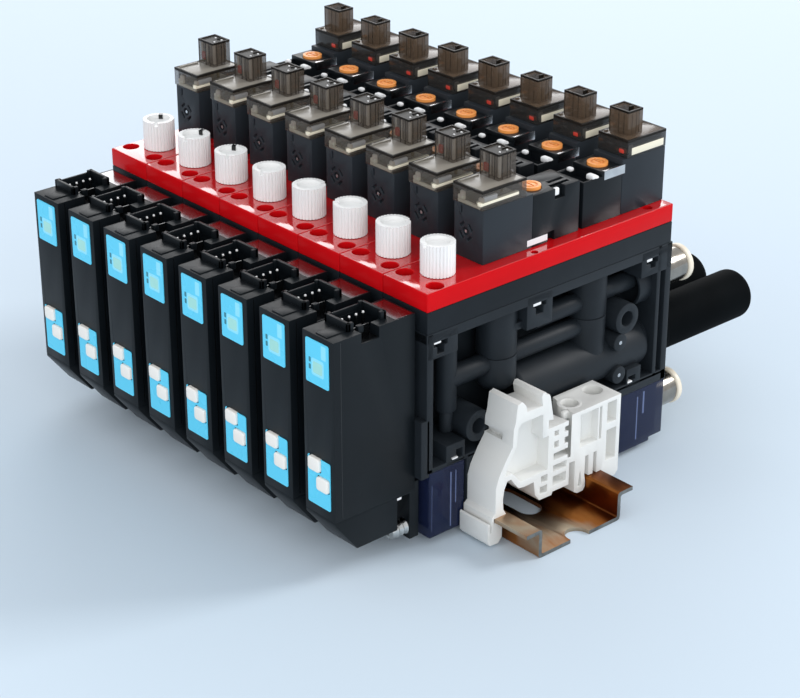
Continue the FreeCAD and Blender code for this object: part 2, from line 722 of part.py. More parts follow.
def body_walls():
    """Web, floors, rims and the short walls of the body's open face."""
    inner = ("web_thick - slice_wide / 2 - 0.5", "slice_wide / 2")
    lug_low = "body_low - 0.8"
    return [
        block("web", ("0 - slice_wide / 2", "web_thick - slice_wide / 2"),
              ("body_front", "body_rear"), ("body_low", "body_top")),
        block("ceiling", SLICE, ("body_front", "body_rear"), ("body_top - ceiling_thick", "body_top")),
        block("floor", SLICE, ("body_front", "body_rear"), ("body_low", "body_low + floor_thick")),
        block("floor_rear", SLICE, ("body_rear - rear_floor_long", "body_rear"),
              ("body_rear_low", "body_low + 1")),
        block("rim_front", SLICE, ("body_front", "body_front + rim_thick"), ("body_low", "body_top")),
        block("rim_rear", SLICE, ("body_rear - rear_rim_thick", "body_rear"), ("body_rear_low", "body_top")),
        block("rib_rear", SLICE, ("rib_front", "rib_rear"), ("body_low", "body_top")),
        block("front_lug", SLICE, ("switch_rear", "body_front + 1"), (lug_low, "body_low + 14")),
        block("apron_front", inner, ("body_front", "stem_pipe_place - 2"), ("body_top - 6.5", "body_top")),
        block("apron_middle", inner, ("front_pipe_place + 3.9", "front_pipe_place + 12.2"),
              ("body_top - 8.6", "body_top")),
        block("apron_rear", inner, ("rear_pipe_place + 12.2", "body_rear"), ("body_top - 6.9", "body_top")),
        block("gap_sill", ("slice_wide / 2 - 6", "slice_wide / 2 - 1.5"),
              ("front_pipe_place", "front_pipe_place + 4.5"), ("body_top - 8.4", "body_top - 6.5")),
        block("latch_block", inner, ("body_front + 6.1", "body_front + 11.9"),
              ("body_low", "body_low + 5.3")),
        block("rear_latch_block", inner, ("body_rear - 14.2", "body_rear - 9.2"),
              ("body_low", "body_low + 5")),
        block("bridge", SLICE, ("0 - channel_half", "channel_half"),
              ("body_low - bridge_deep", "body_low + 1")),
    ]


def body_pipes():
    """Pipes, barrel, chamber, eyelets and bosses of the body's open face."""
    stem = ("pipe_offset", "stem_pipe_place", "body_low + 4")
    front, middle, rear = "stem_pipe_place", "front_pipe_place", "rear_pipe_place"
    chamber = ("chamber_offset", "chamber_front", "fitting_high_level")
    inside = ("chamber_offset", "chamber_front - 1", "fitting_high_level")
    parts = [
        rod("barrel", ALONG_Y, "barrel_radius", ("barrel_offset", "barrel_front", "barrel_level"),
            "rib_front - barrel_gap - barrel_front"),
        rod("barrel_neck", ALONG_Y, "neck_radius", ("0", "rib_front - 2", "silencer_level"),
            "body_rear - rib_front + 1"),
        cut("chamber", rod("chamber_outer", ALONG_Y, "chamber_radius", chamber,
                           "rib_front - chamber_front + 0.5"),
            rod("chamber_inner", ALONG_Y, "chamber_bore", inside, "rib_front - chamber_front + 2")),
        rod("chamber_neck", ALONG_Y, "neck_radius", ("0", "rib_front + 0.6", "fitting_high_level"),
            "body_rear - rib_front - 1"),
        rod("stem_lower", ALONG_Z, "stem_pipe_radius - stem_step", stem, "stem_pipe_rise - 3.5"),
        link("link_front", "link_pipe_radius + 0.2", front, middle, "link_pipe_level"),
        link("link_middle", "link_pipe_radius", middle, rear, "link_pipe_level"),
        link("link_upper", "link_pipe_radius", f"{middle} + 11.5", rear,
             "link_pipe_level + upper_link_rise"),
        link("link_rear", "link_pipe_radius", rear, "body_rear - 8.2", "fitting_high_level + 1.4"),
    ]
    parts += [rod(name, ALONG_X, radius, ("1 - slice_wide / 2", f"body_front + {back}", f"body_low + {rise}"),
                  "slice_wide - 1")
              for name, (radius, back, rise) in STUBS.items()]
    parts += pipe("stem_pipe", front, "stem_pipe_radius", "stem_pipe_low + 0.1", "stem_pipe_low - 1")
    parts += pipe("front_pipe", middle, "front_pipe_radius", "front_pipe_ring", "barrel_level + 3")
    parts += pipe("rear_pipe", rear, "rear_pipe_radius", "rear_pipe_ring", "barrel_level + 1.5")
    return parts


def make_ejector_bodies():
    """Moulded body, open on one side, with two separate feet that stand on the rail's flanges."""
    seats = [
        rod("nozzle_seat", ALONG_Y, "nozzle_bore", ("0", "barrel_front + nozzle_back", "silencer_level"),
            "body_rear - barrel_front"),
        rod("spigot_seat", ALONG_Y, "spigot_radius + spigot_play",
            ("0", "body_rear - spigot_long - 0.3", "silencer_level"), "spigot_long + 2"),
        rod("sleeve_seat", ALONG_Y, "sleeve_radius", ("0", "sleeve_high_start", "fitting_high_level"),
            "sleeve_high_sunk + 2"),
        rod("sleeve_flow_seat", ALONG_Y, "flow_bore", ("0", "rib_front - 1", "fitting_high_level"),
            "sleeve_high_start - rib_front + 2"),
    ]
    seats += [rod(f"{name}_hole", ALONG_X, "eyelet_bore",
                  ("web_thick - slice_wide / 2 + 0.5", f"body_front + {back}", f"body_low + {rise}"),
                  "slice_wide")
              for name, (_, back, rise) in STUBS.items() if name.startswith("eyelet")]
    seats += [block(name, ("slice_wide / 2 - window_deep", "slice_wide / 2 + 1"),
                    (f"body_front + {front}", f"body_front + {rear}"),
                    (f"{edge} + ({low})", f"{edge} + ({high})"))
              for name, (front, rear, edge, low, high) in OPEN_FACE.items()]
    body = cut("body_form", fuse("body_solid", *body_walls(), *body_pipes()), *seats)
    hook_front = "hook_back - channel_half"
    front_foot = fuse(
        "foot_front",
        block("foot_front_block", SLICE, ("0 - rail_half", "foot_inside - channel_half"),
              ("rail_high", "body_low - bridge_deep")),
        block("foot_front_web", SLICE, ("0 - rail_half", "0 - channel_half"),
              ("body_low - bridge_deep - 1", "body_low")),
        block("foot_hook", SLICE, (hook_front, f"{hook_front} + hook_thick"),
              ("rail_high - hook_high", "rail_high + 1")))
    rear_foot = fuse(
        "foot_rear",
        block("foot_rear_block", SLICE, ("channel_half - foot_inside", "rail_half + foot_reach"),
              ("rail_high", "body_low - bridge_deep")),
        block("foot_rear_web", SLICE, ("channel_half", "rail_half + foot_reach"),
              ("body_low - bridge_deep - 1", "body_low")))
    return row("ejector_bodies", node("body_set", body, front_foot, rear_foot))


def make_nozzles():
    """Ejector nozzle and receiver: a stepped tube pressed into the barrel."""
    start = "barrel_front + nozzle_back"
    outer = rod("nozzle_outer", ALONG_Y, "nozzle_bore", ("0", start, "silencer_level"), "nozzle_long")
    inlet = rod("nozzle_inlet", ALONG_Y, "1.6", ("0", f"{start} - 1", "silencer_level"), "8")
    throat = rod("nozzle_throat", ALONG_Y, "0.6", ("0", start, "silencer_level"), "15")
    receiver = rod("nozzle_receiver", ALONG_Y, "1.9", ("0", f"{start} + 14", "silencer_level"), "nozzle_long")
    return row("ejector_nozzles", cut("nozzle_form", outer, inlet, throat, receiver))


def case_form(name, rise):
    """An open-topped filter case closed by the floor of the body."""
    front, rear, low = f"{name}_front", f"{name}_rear", f"{name}_low"
    outer = block(f"{name}_outer", CASE, (front, rear), (low, rise))
    cavity = block(f"{name}_cavity", (f"{CASE[0]} + case_wall", f"{CASE[1]} - case_wall"),
                   (f"{front} + case_wall", f"{rear} - case_wall"), (f"{low} + case_wall", f"{rise} + 1"))
    return outer, cavity


def make_filters():
    """Blue filter cases in front and at the rear, and their filter elements."""
    step = block("rear_case_step", (f"{CASE[0]} - 1", f"{CASE[1]} + 1"),
                 ("rear_case_rear - case_step_long", "rear_case_rear + 1"),
                 ("rear_case_low - 1", "rear_case_low + case_step_high"))
    port = rod("rear_case_port", ALONG_Y, "sleeve_radius", ("0", "sleeve_low_start", "fitting_low_level"),
               "sleeve_low_sunk + 1")
    front_case = cut("front_case_form", *case_form("front_case", "body_low"))
    rear_case = cut("rear_case_form", *case_form("rear_case", "body_rear_low"), step, port)
    yield row("filter_cases", node("case_pair", front_case, rear_case))
    front_at = ("0", "(front_case_front + front_case_rear) / 2", "front_case_low + case_wall")
    front_radius = "(front_case_rear - front_case_front) / 2 - case_wall - front_element_play"
    front_element = rod("front_element", ALONG_Z, front_radius, front_at,
                        "body_low - front_case_low - case_wall - front_element_gap")
    start = "rear_case_front + case_wall"
    core = rod("rear_element_core", ALONG_Y, "rear_element_radius", ("0", start, "fitting_low_level"),
               f"sleeve_low_start - ({start})")
    hollow = rod("rear_element_hollow", ALONG_Y, "flow_bore",
                 ("0", f"{start} + element_cap", "fitting_low_level"), "sleeve_low_start - rear_case_front")
    rear_element = cut("rear_element", core, hollow)
    yield row("filter_elements", node("element_pair", front_element, rear_element))


def fitting_forms(name, start, level):
    """Sleeve of a push-in fitting and its release ring, on one tube axis."""
    def along(part, radius, offset, length):
        return rod(f"{name}_{part}", ALONG_Y, radius, ("0", f"{start} + {offset}", level), length)
    outer = along("sleeve_outer", "sleeve_radius", "0", "sleeve_long")
    chamber = along("sleeve_chamber", "sleeve_bore", "sleeve_seat_long", "sleeve_long")
    stop = along("sleeve_stop", "tube_bore", "tube_stop", "sleeve_long")
    flow = along("sleeve_flow", "flow_bore", "0 - 1", "sleeve_long")
    flange = along("ring_flange", "ring_radius", "sleeve_long", "ring_thick")
    collar = along("ring_collar", "sleeve_bore - ring_play", "sleeve_seat_long + 1",
                   "sleeve_long - sleeve_seat_long - 0.5")
    bore = along("ring_bore", "tube_bore", "sleeve_seat_long", "sleeve_long")
    sleeve = cut(f"{name}_sleeve", outer, chamber, stop, flow)
    ring = cut(f"{name}_ring", fuse(f"{name}_ring_solid", flange, collar), bore)
    return sleeve, ring


def make_fittings():
    """Two push-in fittings for 6 mm tube per station."""
    high_sleeve, high_ring = fitting_forms("high", "sleeve_high_start", "fitting_high_level")
    low_sleeve, low_ring = fitting_forms("low", "sleeve_low_start", "fitting_low_level")
    yield row("tube_fittings", node("sleeve_pair", high_sleeve, low_sleeve))
    yield row("release_rings", node("ring_pair", high_ring, low_ring))


def make_silencers():
    """Silencer with a rounded end, hollow, on a spigot in the body."""
    at = ("0", "body_rear", "silencer_level")
    spigot_at = ("0", "body_rear - spigot_long", "silencer_level")
    barrel = rod("silencer_barrel", ALONG_Y, "silencer_radius", at, "silencer_long - silencer_round")
    core = rod("silencer_core", ALONG_Y, "silencer_radius - silencer_round", at, "silencer_long")
    edge = doc.addObject("Part::Torus", "silencer_edge")
    edge.Placement = Placement(Vector(), ALONG_Y)
    bind(edge, "Radius1", "silencer_radius - silencer_round")
    bind(edge, "Radius2", "silencer_round")
    bind(edge, "Placement.Base.y", "silencer_end - silencer_round")
    bind(edge, "Placement.Base.z", "silencer_level")
    spigot = rod("silencer_spigot", ALONG_Y, "spigot_radius", spigot_at, "spigot_long + 2")
    bore = rod("silencer_hollow", ALONG_Y, "silencer_bore",
               ("0", "body_rear - spigot_long - 1", "silencer_level"),
               "spigot_long + 1 + silencer_long - silencer_wall")
    solid = fuse("silencer_solid", barrel, core, edge, spigot)
    return row("silencers", cut("silencer_form", solid, bore))


def make_rail():
    """Top-hat rail with a row of slots, one of them cut through by the rail's end."""
    along = ("0 - rail_long / 2", "rail_long / 2")
    floor, flange = ("0", "rail_thick"), ("rail_high - rail_thick", "rail_high")
    front_wall, rear_wall = "rail_thick - channel_half", "channel_half - rail_thick"
    parts = [block("rail_base", along, ("0 - channel_half", "channel_half"), floor),
             block("rail_wall_front", along, ("0 - channel_half", front_wall), ("0", "rail_high")),
             block("rail_wall_rear", along, (rear_wall, "channel_half"), ("0", "rail_high")),
             block("rail_flange_front", along, ("0 - rail_half", front_wall), flange),
             block("rail_flange_rear", along, (rear_wall, "rail_half"), flange)]
    slots = []
    straight = "(slot_long / 2 - slot_radius)"
    for count in range(7):
        centre = f"rail_long / 2 + slot_overhang - {count} * slot_pitch"
        slots.append(block(f"slot_{count}", (f"{centre} - {straight}", f"{centre} + {straight}"),
                           ("0 - slot_radius", "slot_radius"), ("0 - 1", "rail_thick + 1")))
        slots += [rod(f"slot_{count}_{side}", ALONG_Z, "slot_radius",
                      (f"{centre} {sign} {straight}", "0", "0 - 1"), "rail_thick + 2")
                  for side, sign in (("left", "-"), ("right", "+"))]
    return node("din_rail", cut("rail_form", fuse("rail_solid", *parts), *slots))


def clamp_outline():
    """Side view of the end clamp (y, z): foot hook, arm, ladder, spring hook, rear block."""
    high, half = size("rail_high"), size("rail_half")
    under = high - size("rail_thick") - 0.2
    return [(-half - 2.1, 1.8), (-half - 1.4, 0.8), (-half + 1.3, 0.6), (-half + 2.4, 2.0),
            (-half + 2.4, under), (-half - 0.2, under), (-half - 0.2, high), (-13.9, high),
            (-14.8, 9.0), (-15.0, 11.6), (-14.6, 14.1), (-13.7, 16.0), (-12.5, 16.0), (-11.2, 14.2),
            (-10.0, 12.8), (-8.2, 12.5), (-5.1, 12.6), (-4.6, 9.0), (-3.1, 7.0), (0.9, 6.9), (1.2, 7.7),
            (6.6, 7.6), (6.6, 13.4), (8.5, 13.3), (8.5, 4.8), (9.6, 4.1), (11.5, 4.1), (12.2, 5.0),
            (12.2, 6.6), (11.9, 8.2), (12.0, 13.3), (13.1, 13.3), (13.2, high + 0.2), (14.7, high + 0.1),
            (14.8, 13.3), (15.9, 13.3), (15.9, high), (half + 0.2, high), (half + 0.2, under),
            (half - 2.4, under), (half - 2.4, 4.4), (22.6, 4.4), (23.5, 5.4), (23.5, 26.0), (6.7, 26.0),
            (6.7, 24.9), (-0.7, 24.9), (-0.7, 27.3), (0.8, 27.0), (-0.4, 33.3), (-0.8, 34.0),
            (-1.7, 34.2), (-1.9, 34.9), (-2.8, 35.0), (-3.3, 34.1), (-2.8, 31.7), (-7.8, 31.9),
            (-8.3, 33.7), (-9.5, 35.0), (-10.9, 34.6), (-11.5, 30.1), (-12.0, 28.8), (-12.2, 24.3),
            (-14.3, 21.4), (-16.4, 17.9), (-17.3, 15.3), (-17.3, 8.8), (-half - 0.9, 8.0),
            (-half - 0.9, 3.9), (-half - 1.3, 3.9), (-half - 1.4, 6.4), (-half - 1.8, 6.7),
            (-half - 2.1, 6.3)]


# Deep bay of the end clamp's near face and the hole in its spring hook, as outlines (y, z).
CLAMP_BAY = [(-2.6, 29.5), (-2.6, 23.2), (-0.6, 23.2), (-0.6, 14.3), (-9.6, 14.3), (-11.0, 16.2),
             (-12.3, 17.5), (-14.6, 17.4), (-13.0, 20.8), (-10.9, 24.4), (-10.6, 28.4), (-9.6, 29.5)]
CLAMP_HOOK_HOLE = [(10.4, 10.2), (9.7, 5.7), (11.2, 5.6)]

# Other moulded windows of the end clamp: from and to in y, from and to in z, how much thickness is left.
CLAMP_WINDOWS = {
    "ladder_1_left": (1.3, 2.8, 22.3, 23.7, "clamp_web"),
    "ladder_1_right": (4.7, 6.2, 22.3, 23.7, "clamp_web"),
    "ladder_2_left": (1.3, 2.8, 19.2, 20.9, "clamp_web"),
    "ladder_2_right": (4.7, 6.2, 19.2, 20.9, "clamp_web"),
    "ladder_3": (1.2, 6.2, 16.0, 17.8, "clamp_web"),
    "ladder_4": (1.2, 5.6, 12.9, 14.6, "clamp_web"),
    "ladder_5": (1.2, 5.6, 9.2, 11.7, "clamp_web"),
    "ladder_slot": (5.9, 6.95, 14.9, 27.0, "clamp_web"),
    "loop_high": (-2.7, -0.6, 11.4, 13.2, "clamp_web"),
    "loop_low": (-3.0, -0.6, 8.4, 10.4, "clamp_web"),
    "block_window": (9.9, 15.9, 16.2, 24.9, "clamp_thick - 2.3"),
    "block_slit": (16.4, 17.2, 16.2, 24.9, "clamp_thick - 2.3"),
    "rear_window_high": (19.0, 22.1, 19.5, 25.0, "clamp_thick - 3.1"),
    "rear_window_low": (19.0, 22.3, 9.5, 17.7, "clamp_thick - 3.1"),
}


def make_end_clamps():
    """Two like end clamps with moulded windows, a set screw and a sight hole."""
    plate = profile("clamp_plate", clamp_outline(), "0", "clamp_thick")
    middle = "clamp_thick / 2"
    tools = [block(f"clamp_{name}", (left, "clamp_thick + 1"),
                   (f"0 + ({front})", f"0 + ({rear})"), (f"{low}", f"{high}"))
             for name, (front, rear, low, high, left) in CLAMP_WINDOWS.items()]
    tools += [
        profile("clamp_bay", CLAMP_BAY, "clamp_web", "clamp_thick"),
        profile("clamp_hook_hole", CLAMP_HOOK_HOLE, "clamp_web", "clamp_thick"),
        block("clamp_notch", ("0 - 1", "clamp_thick - 3.6"), ("0 - 13.6", "0 - 10.8"), ("24.8", "26.6")),
        block("clamp_top_corner", ("0 - 1", "3.2"), ("6", "8.9"), ("14", "27")),
        rod("clamp_screw_hole", ALONG_Z, "screw_radius", (middle, "clamp_screw_place", "clamp_screw_low"),
            "20"),
        rod("clamp_sight_hole", ALONG_Z, "clamp_hole_radius",
            (f"{middle} - clamp_hole_aside", "clamp_hole_place", "clamp_hole_low"), "20"),
    ]
    form = cut("clamp_form", plate, *tools)
    edge = f"pitch * {STATIONS / 2}"
    return node("end_clamps", placed("near_clamp", form, edge),
                placed("far_clamp", form, f"0 - {edge} - clamp_thick"))


def make_set_screws():
    """Ten like slotted set screws: one per switch bracket and one per end clamp."""
    body = rod("screw_body", ALONG_Z, "screw_radius", ("0", "0", "0"), "screw_long")
    slot = block("screw_slot", ("0 - 3", "3"), ("0 - screw_slot_wide / 2", "screw_slot_wide / 2"),
                 ("screw_long - screw_slot_deep", "screw_long + 1"))
    form = cut("screw_form", body, slot)
    centre = f"(pitch * {STATIONS / 2} + clamp_thick / 2)"
    spots = {f"clamp_screw_{side}": (ALONG_Z, x, "clamp_screw_place", "clamp_screw_low")
             for side, x in (("near", centre), ("far", f"0 - {centre}"))}
    for number in range(1, STATIONS + 1):
        spots[f"bracket_screw_{number}"] = (ALONG_Y, station_x(number), "bracket_screw_front",
                                            "bracket_screw_level")
    screws = []
    for name, (turn, x, y, z) in spots.items():
        screw = placed(name, form, x)
        screw.Placement = Placement(Vector(), turn)
        for axis, place in zip("xyz", (x, y, z)):
            bind(screw, f"Placement.Base.{axis}", place)
        screws.append(screw)
    return node("set_screws", *screws)


nodes = [make_top_plates(), make_adapter_blocks(), make_ejector_bodies(), make_nozzles(),
         make_brackets(), make_silencers(), make_rail(), make_end_clamps(), make_set_screws()]
for group in (make_knobs, make_valves, make_overrides, make_connectors, make_switches,
              make_filters, make_fittings):
    nodes += list(group())
doc.recompute()

for item in doc.Objects:
    if "Invalid" in item.State or "Error" in item.State:
        raise SystemExit(f"{item.Name}: {item.State}")
os.makedirs("parts", exist_ok=True)
for item in nodes:
    shape = item.Shape
    if shape.isNull() or not shape.isValid() or not shape.Solids:
        raise SystemExit(f"{item.Label}: bad shape")
    shape.exportStep(f"parts/{item.Label}.step")
    box = shape.BoundBox
    print(f"{item.Label:22s} solids {len(shape.Solids):3d}  volume {shape.Volume:9.1f}  "
          f"x {box.XMin:7.2f} {box.XMax:7.2f}  y {box.YMin:7.2f} {box.YMax:7.2f}  "
          f"z {box.ZMin:7.2f} {box.ZMax:7.2f}")
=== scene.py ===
# %% [markdown]
# A manifold of vacuum generators, dressed for the camera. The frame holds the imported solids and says
# where each piece goes. Everything is drawn in millimetres here and turned into metres by one helper,
# because the parts are small and millimetres read better.

# %% Load the frame
import json
import math

import bpy
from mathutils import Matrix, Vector

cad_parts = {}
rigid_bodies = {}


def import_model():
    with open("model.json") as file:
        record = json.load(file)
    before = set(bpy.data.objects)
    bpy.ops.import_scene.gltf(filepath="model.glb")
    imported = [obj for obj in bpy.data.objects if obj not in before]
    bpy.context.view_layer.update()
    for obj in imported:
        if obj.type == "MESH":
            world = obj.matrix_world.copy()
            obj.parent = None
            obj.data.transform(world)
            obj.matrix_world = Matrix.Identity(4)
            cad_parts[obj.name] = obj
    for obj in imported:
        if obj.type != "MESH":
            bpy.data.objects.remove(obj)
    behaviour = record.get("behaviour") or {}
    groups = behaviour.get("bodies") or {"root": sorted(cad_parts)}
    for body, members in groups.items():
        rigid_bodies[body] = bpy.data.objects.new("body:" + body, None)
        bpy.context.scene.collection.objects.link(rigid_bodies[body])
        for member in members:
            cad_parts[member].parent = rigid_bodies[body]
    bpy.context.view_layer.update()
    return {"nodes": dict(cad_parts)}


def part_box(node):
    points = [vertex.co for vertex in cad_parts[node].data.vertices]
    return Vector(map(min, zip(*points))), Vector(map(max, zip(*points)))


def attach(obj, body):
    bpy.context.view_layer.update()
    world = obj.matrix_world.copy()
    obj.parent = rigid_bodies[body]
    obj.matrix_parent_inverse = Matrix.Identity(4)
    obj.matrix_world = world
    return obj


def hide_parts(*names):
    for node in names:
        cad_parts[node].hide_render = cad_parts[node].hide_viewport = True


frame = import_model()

MM = 0.001
STATIONS = 8
print("pieces in the frame:", len(frame["nodes"]))

# %% [markdown]
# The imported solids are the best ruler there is: the limits of a node say where its piece sits. The real
# manifold is a row of equal stations, so the first station is measured and the distance to the second.
# Typing these places again would work too, but then two files could disagree.

# %% Measure the stations


def node_span(node):
    """Lowest and highest corner of a node, in millimetres."""
    low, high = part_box(node)
    return [value / MM for value in low], [value / MM for value in high]


first_knob = node_span("knob_1")
second_knob = node_span("knob_2")
FIRST_X = (first_knob[0][0] + first_knob[1][0]) / 2
PITCH = FIRST_X - (second_knob[0][0] + second_knob[1][0]) / 2
SLICE = 14.9
print("first station at", round(FIRST_X, 2), "pitch", round(PITCH, 2))

# %% [markdown]
# Small helpers come first. A primitive is added at its size and place, and its transform is applied at
# once, so that every object stays at the origin and its place lives in its mesh.

# %% Helpers for primitives


def deselect():
    bpy.ops.object.select_all(action="DESELECT")


def activate(piece):
    """Make a piece the only selected one."""
    deselect()
    piece.select_set(True)
    bpy.context.view_layer.objects.active = piece


def settle(name):
    """Name the new object and move its place into its mesh."""
    piece = bpy.context.object
    piece.name = name
    bpy.ops.object.transform_apply(location=True, rotation=True, scale=True)
    return piece


print("helpers ready: deselect, activate, settle")

# %% [markdown]
# Nearly every moulding here starts as a cuboid or a rod. Both helpers take limits, not a centre and a
# size, because neighbours share limits and a gap then shows up in the numbers. A cone with two equal
# radii is a cylinder, so one helper makes pins, pipes and countersinks.

# %% A cuboid and a rod


def block(name, x, y, z):
    """A cuboid between limits in millimetres."""
    deselect()
    centre = [(low + high) / 2 * MM for low, high in (x, y, z)]
    bpy.ops.mesh.primitive_cube_add(size=1, location=centre)
    bpy.context.object.scale = [(high - low) * MM for low, high in (x, y, z)]
    return settle(name)


def rod(name, axis, along, at, radius, sides=32, tip=None):
    """A cylinder or cone along an axis: limits along it, and the two other coordinates."""
    deselect()
    low, high = along
    turn = {"x": (0, math.pi / 2, 0), "y": (-math.pi / 2, 0, 0), "z": (0, 0, 0)}[axis]
    centre = list(at)
    centre.insert("xyz".index(axis), (low + high) / 2)
    bpy.ops.mesh.primitive_cone_add(vertices=sides, radius1=radius * MM,
                                    radius2=(radius if tip is None else tip) * MM,
                                    depth=(high - low) * MM,
                                    location=[value * MM for value in centre], rotation=turn)
    return settle(name)


print("helpers ready: block, rod")

# %% [markdown]
# A moulding is one piece of plastic even where it looks like many. Parts are joined into one object, and
# holes are cut with a Boolean modifier that is applied at once. The tool is removed after its cut. A
# part is carved before it is joined, because the exact solver needs a mesh that doesn't run through
# itself.

# %% Join parts and cut holes


def weld(name, *pieces):
    """Join pieces into one object."""
    activate(pieces[0])
    for piece in pieces[1:]:
        piece.select_set(True)
    if len(pieces) > 1:
        bpy.ops.object.join()
    pieces[0].name = name
    return pieces[0]


def carve(piece, *tools):
    """Cut tools out of a piece."""
    tool = weld("tool", *tools)
    activate(piece)
    cut = piece.modifiers.new("cut", "BOOLEAN")
    cut.operation = "DIFFERENCE"
    cut.solver = "EXACT"
    cut.use_self = len(tools) > 1
    cut.object = tool
    bpy.ops.object.modifier_apply(modifier="cut")
    bpy.data.objects.remove(tool)
    return piece


print("helpers ready: weld, carve")

# %% [markdown]
# No moulded edge is sharp. A bevel of a few tenths of a millimetre catches a thin line of light, and
# that line does more for realism than any texture. The bevel asks for the angle, so flat joins stay
# flat, and the shading is smooth only below 35 degrees.

# %% Round the edges
SMOOTH_BELOW = 35


def soften(piece, width, segments=2, angle=40):
    """Round the sharp edges as a moulding tool leaves them."""
    activate(piece)
    bevel = piece.modifiers.new("round", "BEVEL")
    bevel.width = width * MM
    bevel.segments = segments
    bevel.limit_method = "ANGLE"
    bevel.angle_limit = math.radians(angle)
    bevel.harden_normals = False
    bpy.ops.object.modifier_apply(modifier="round")
    bpy.ops.object.shade_smooth_by_angle(angle=math.radians(SMOOTH_BELOW))
    return piece


print("smooth below", SMOOTH_BELOW, "degrees")

# %% [markdown]
# Eight stations are alike, so each piece is modelled once at the first station and repeated along the
# rail by an Array modifier with a constant offset. The frame holds such a row as one node, so the row
# stays one mesh too.

# %% Repeat at every station


def station_row(piece):
    """Repeat a piece at every station, as one mesh."""
    activate(piece)
    array = piece.modifiers.new("stations", "ARRAY")
    array.count = STATIONS
    array.use_relative_offset = False
    array.use_constant_offset = True
    array.constant_offset_displace = (-PITCH * MM, 0, 0)
    bpy.ops.object.modifier_apply(modifier="stations")
    return piece


print("stations to fill:", STATIONS)

# %% [markdown]
# By hand one would click the faces to work on. In code they are picked by their centre and their normal,
# which is plain to read and gives the same faces each run. The selection is made in object mode, between
# two visits to edit mode.

# %% Pick faces in code


def pick(piece, test):
    """Select faces by centre (millimetres) and normal, ready for edit mode."""
    activate(piece)
    bpy.ops.object.mode_set(mode="EDIT")
    bpy.ops.mesh.select_mode(type="FACE")
    bpy.ops.mesh.select_all(action="DESELECT")
    bpy.ops.object.mode_set(mode="OBJECT")
    for face in piece.data.polygons:
        face.select = test(face.center / MM, face.normal)
    bpy.ops.object.mode_set(mode="EDIT")


def leave_edit():
    """Go back to object mode, so that the mesh is written."""
    bpy.ops.object.mode_set(mode="OBJECT")


print("helpers ready: pick, leave_edit")

# %% [markdown]
# Finishes are node materials on Object coordinates, so their grain keeps its real size on every piece.
# Moulded plastic gets a very fine bump and a slow change of gloss, which is what makes a black
# moulding read as plastic and not as paint.

# %% Helpers for finishes


def new_finish(name):
    """A node material with its shader and a coordinate node."""
    material = bpy.data.materials.new(name)
    material.use_nodes = True
    nodes = material.node_tree.nodes
    links = material.node_tree.links
    shader = nodes["Principled BSDF"]
    place = nodes.new("ShaderNodeTexCoord")
    return material, nodes, links, shader, place


def noise(nodes, links, place, scale, detail=2.0):
    """Noise on Object coordinates, in waves per metre."""
    texture = nodes.new("ShaderNodeTexNoise")
    texture.inputs["Scale"].default_value = scale
    texture.inputs["Detail"].default_value = detail
    links.new(place.outputs["Object"], texture.inputs["Vector"])
    return texture


def ranged(nodes, links, source, low, high):
    """Bring a value from 0..1 to the range that a socket needs."""
    change = nodes.new("ShaderNodeMapRange")
    change.inputs["To Min"].default_value = low
    change.inputs["To Max"].default_value = high
    links.new(source, change.inputs["Value"])
    return change.outputs["Result"]


print("helpers ready: new_finish, noise, ranged")

# %% [markdown]
# Two things break up a surface. The eroded skin of a moulding tool leaves a bump of hundredths of a
# millimetre, and the pigment or the plating drifts a little in tone. Both are noise: the first goes into
# the normal, the second through a colour ramp into the base colour.

# %% Grain and drift of tone


def add_grain(nodes, links, shader, place, scale, strength, distance=0.00004):
    """Fine bump from noise."""
    texture = noise(nodes, links, place, scale, 3.0)
    bump = nodes.new("ShaderNodeBump")
    bump.inputs["Strength"].default_value = strength
    bump.inputs["Distance"].default_value = distance
    links.new(texture.outputs["Fac"], bump.inputs["Height"])
    links.new(bump.outputs["Normal"], shader.inputs["Normal"])


def tint(nodes, links, shader, place, colour, other, scale):
    """Let the colour drift slowly between two near tones."""
    texture = noise(nodes, links, place, scale, 4.0)
    ramp = nodes.new("ShaderNodeValToRGB")
    ramp.color_ramp.elements[0].position = 0.35
    ramp.color_ramp.elements[1].position = 0.65
    ramp.color_ramp.elements[0].color = (*colour, 1)
    ramp.color_ramp.elements[1].color = (*other, 1)
    links.new(texture.outputs["Fac"], ramp.inputs["Fac"])
    links.new(ramp.outputs["Color"], shader.inputs["Base Color"])


print("helpers ready: add_grain, tint")

# %% [markdown]
# Most of the manifold is moulded plastic, matt or glossy. One function serves all of it: colour,
# roughness, strength of the grain and strength of the reflection. A black moulding needs a weak
# reflection, or the pale room washes it out to grey.

# %% Moulded plastic


def moulded(name, colour, rough, grain=0.25, drift=0.1, grain_scale=5000, specular=0.5):
    """Moulded plastic: colour, roughness, strength of its grain, strength of its reflection."""
    material, nodes, links, shader, place = new_finish(name)
    darker = [value * (1 - drift) for value in colour]
    tint(nodes, links, shader, place, colour, darker, 90)
    slow = noise(nodes, links, place, 160)
    links.new(ranged(nodes, links, slow.outputs["Fac"], rough - 0.05, rough + 0.05),
              shader.inputs["Roughness"])
    shader.inputs["Specular IOR Level"].default_value = specular
    add_grain(nodes, links, shader, place, grain_scale, grain)
    return material


print("finish kind ready: moulded plastic")

# %% [markdown]
# Sleeves, pins and screws are plated metal. A metal has no colour of its own under the reflection, so
# the base colour is the colour of the mirror, and its roughness wanders a little, as a plated surface
# does.

# %% Plated metal


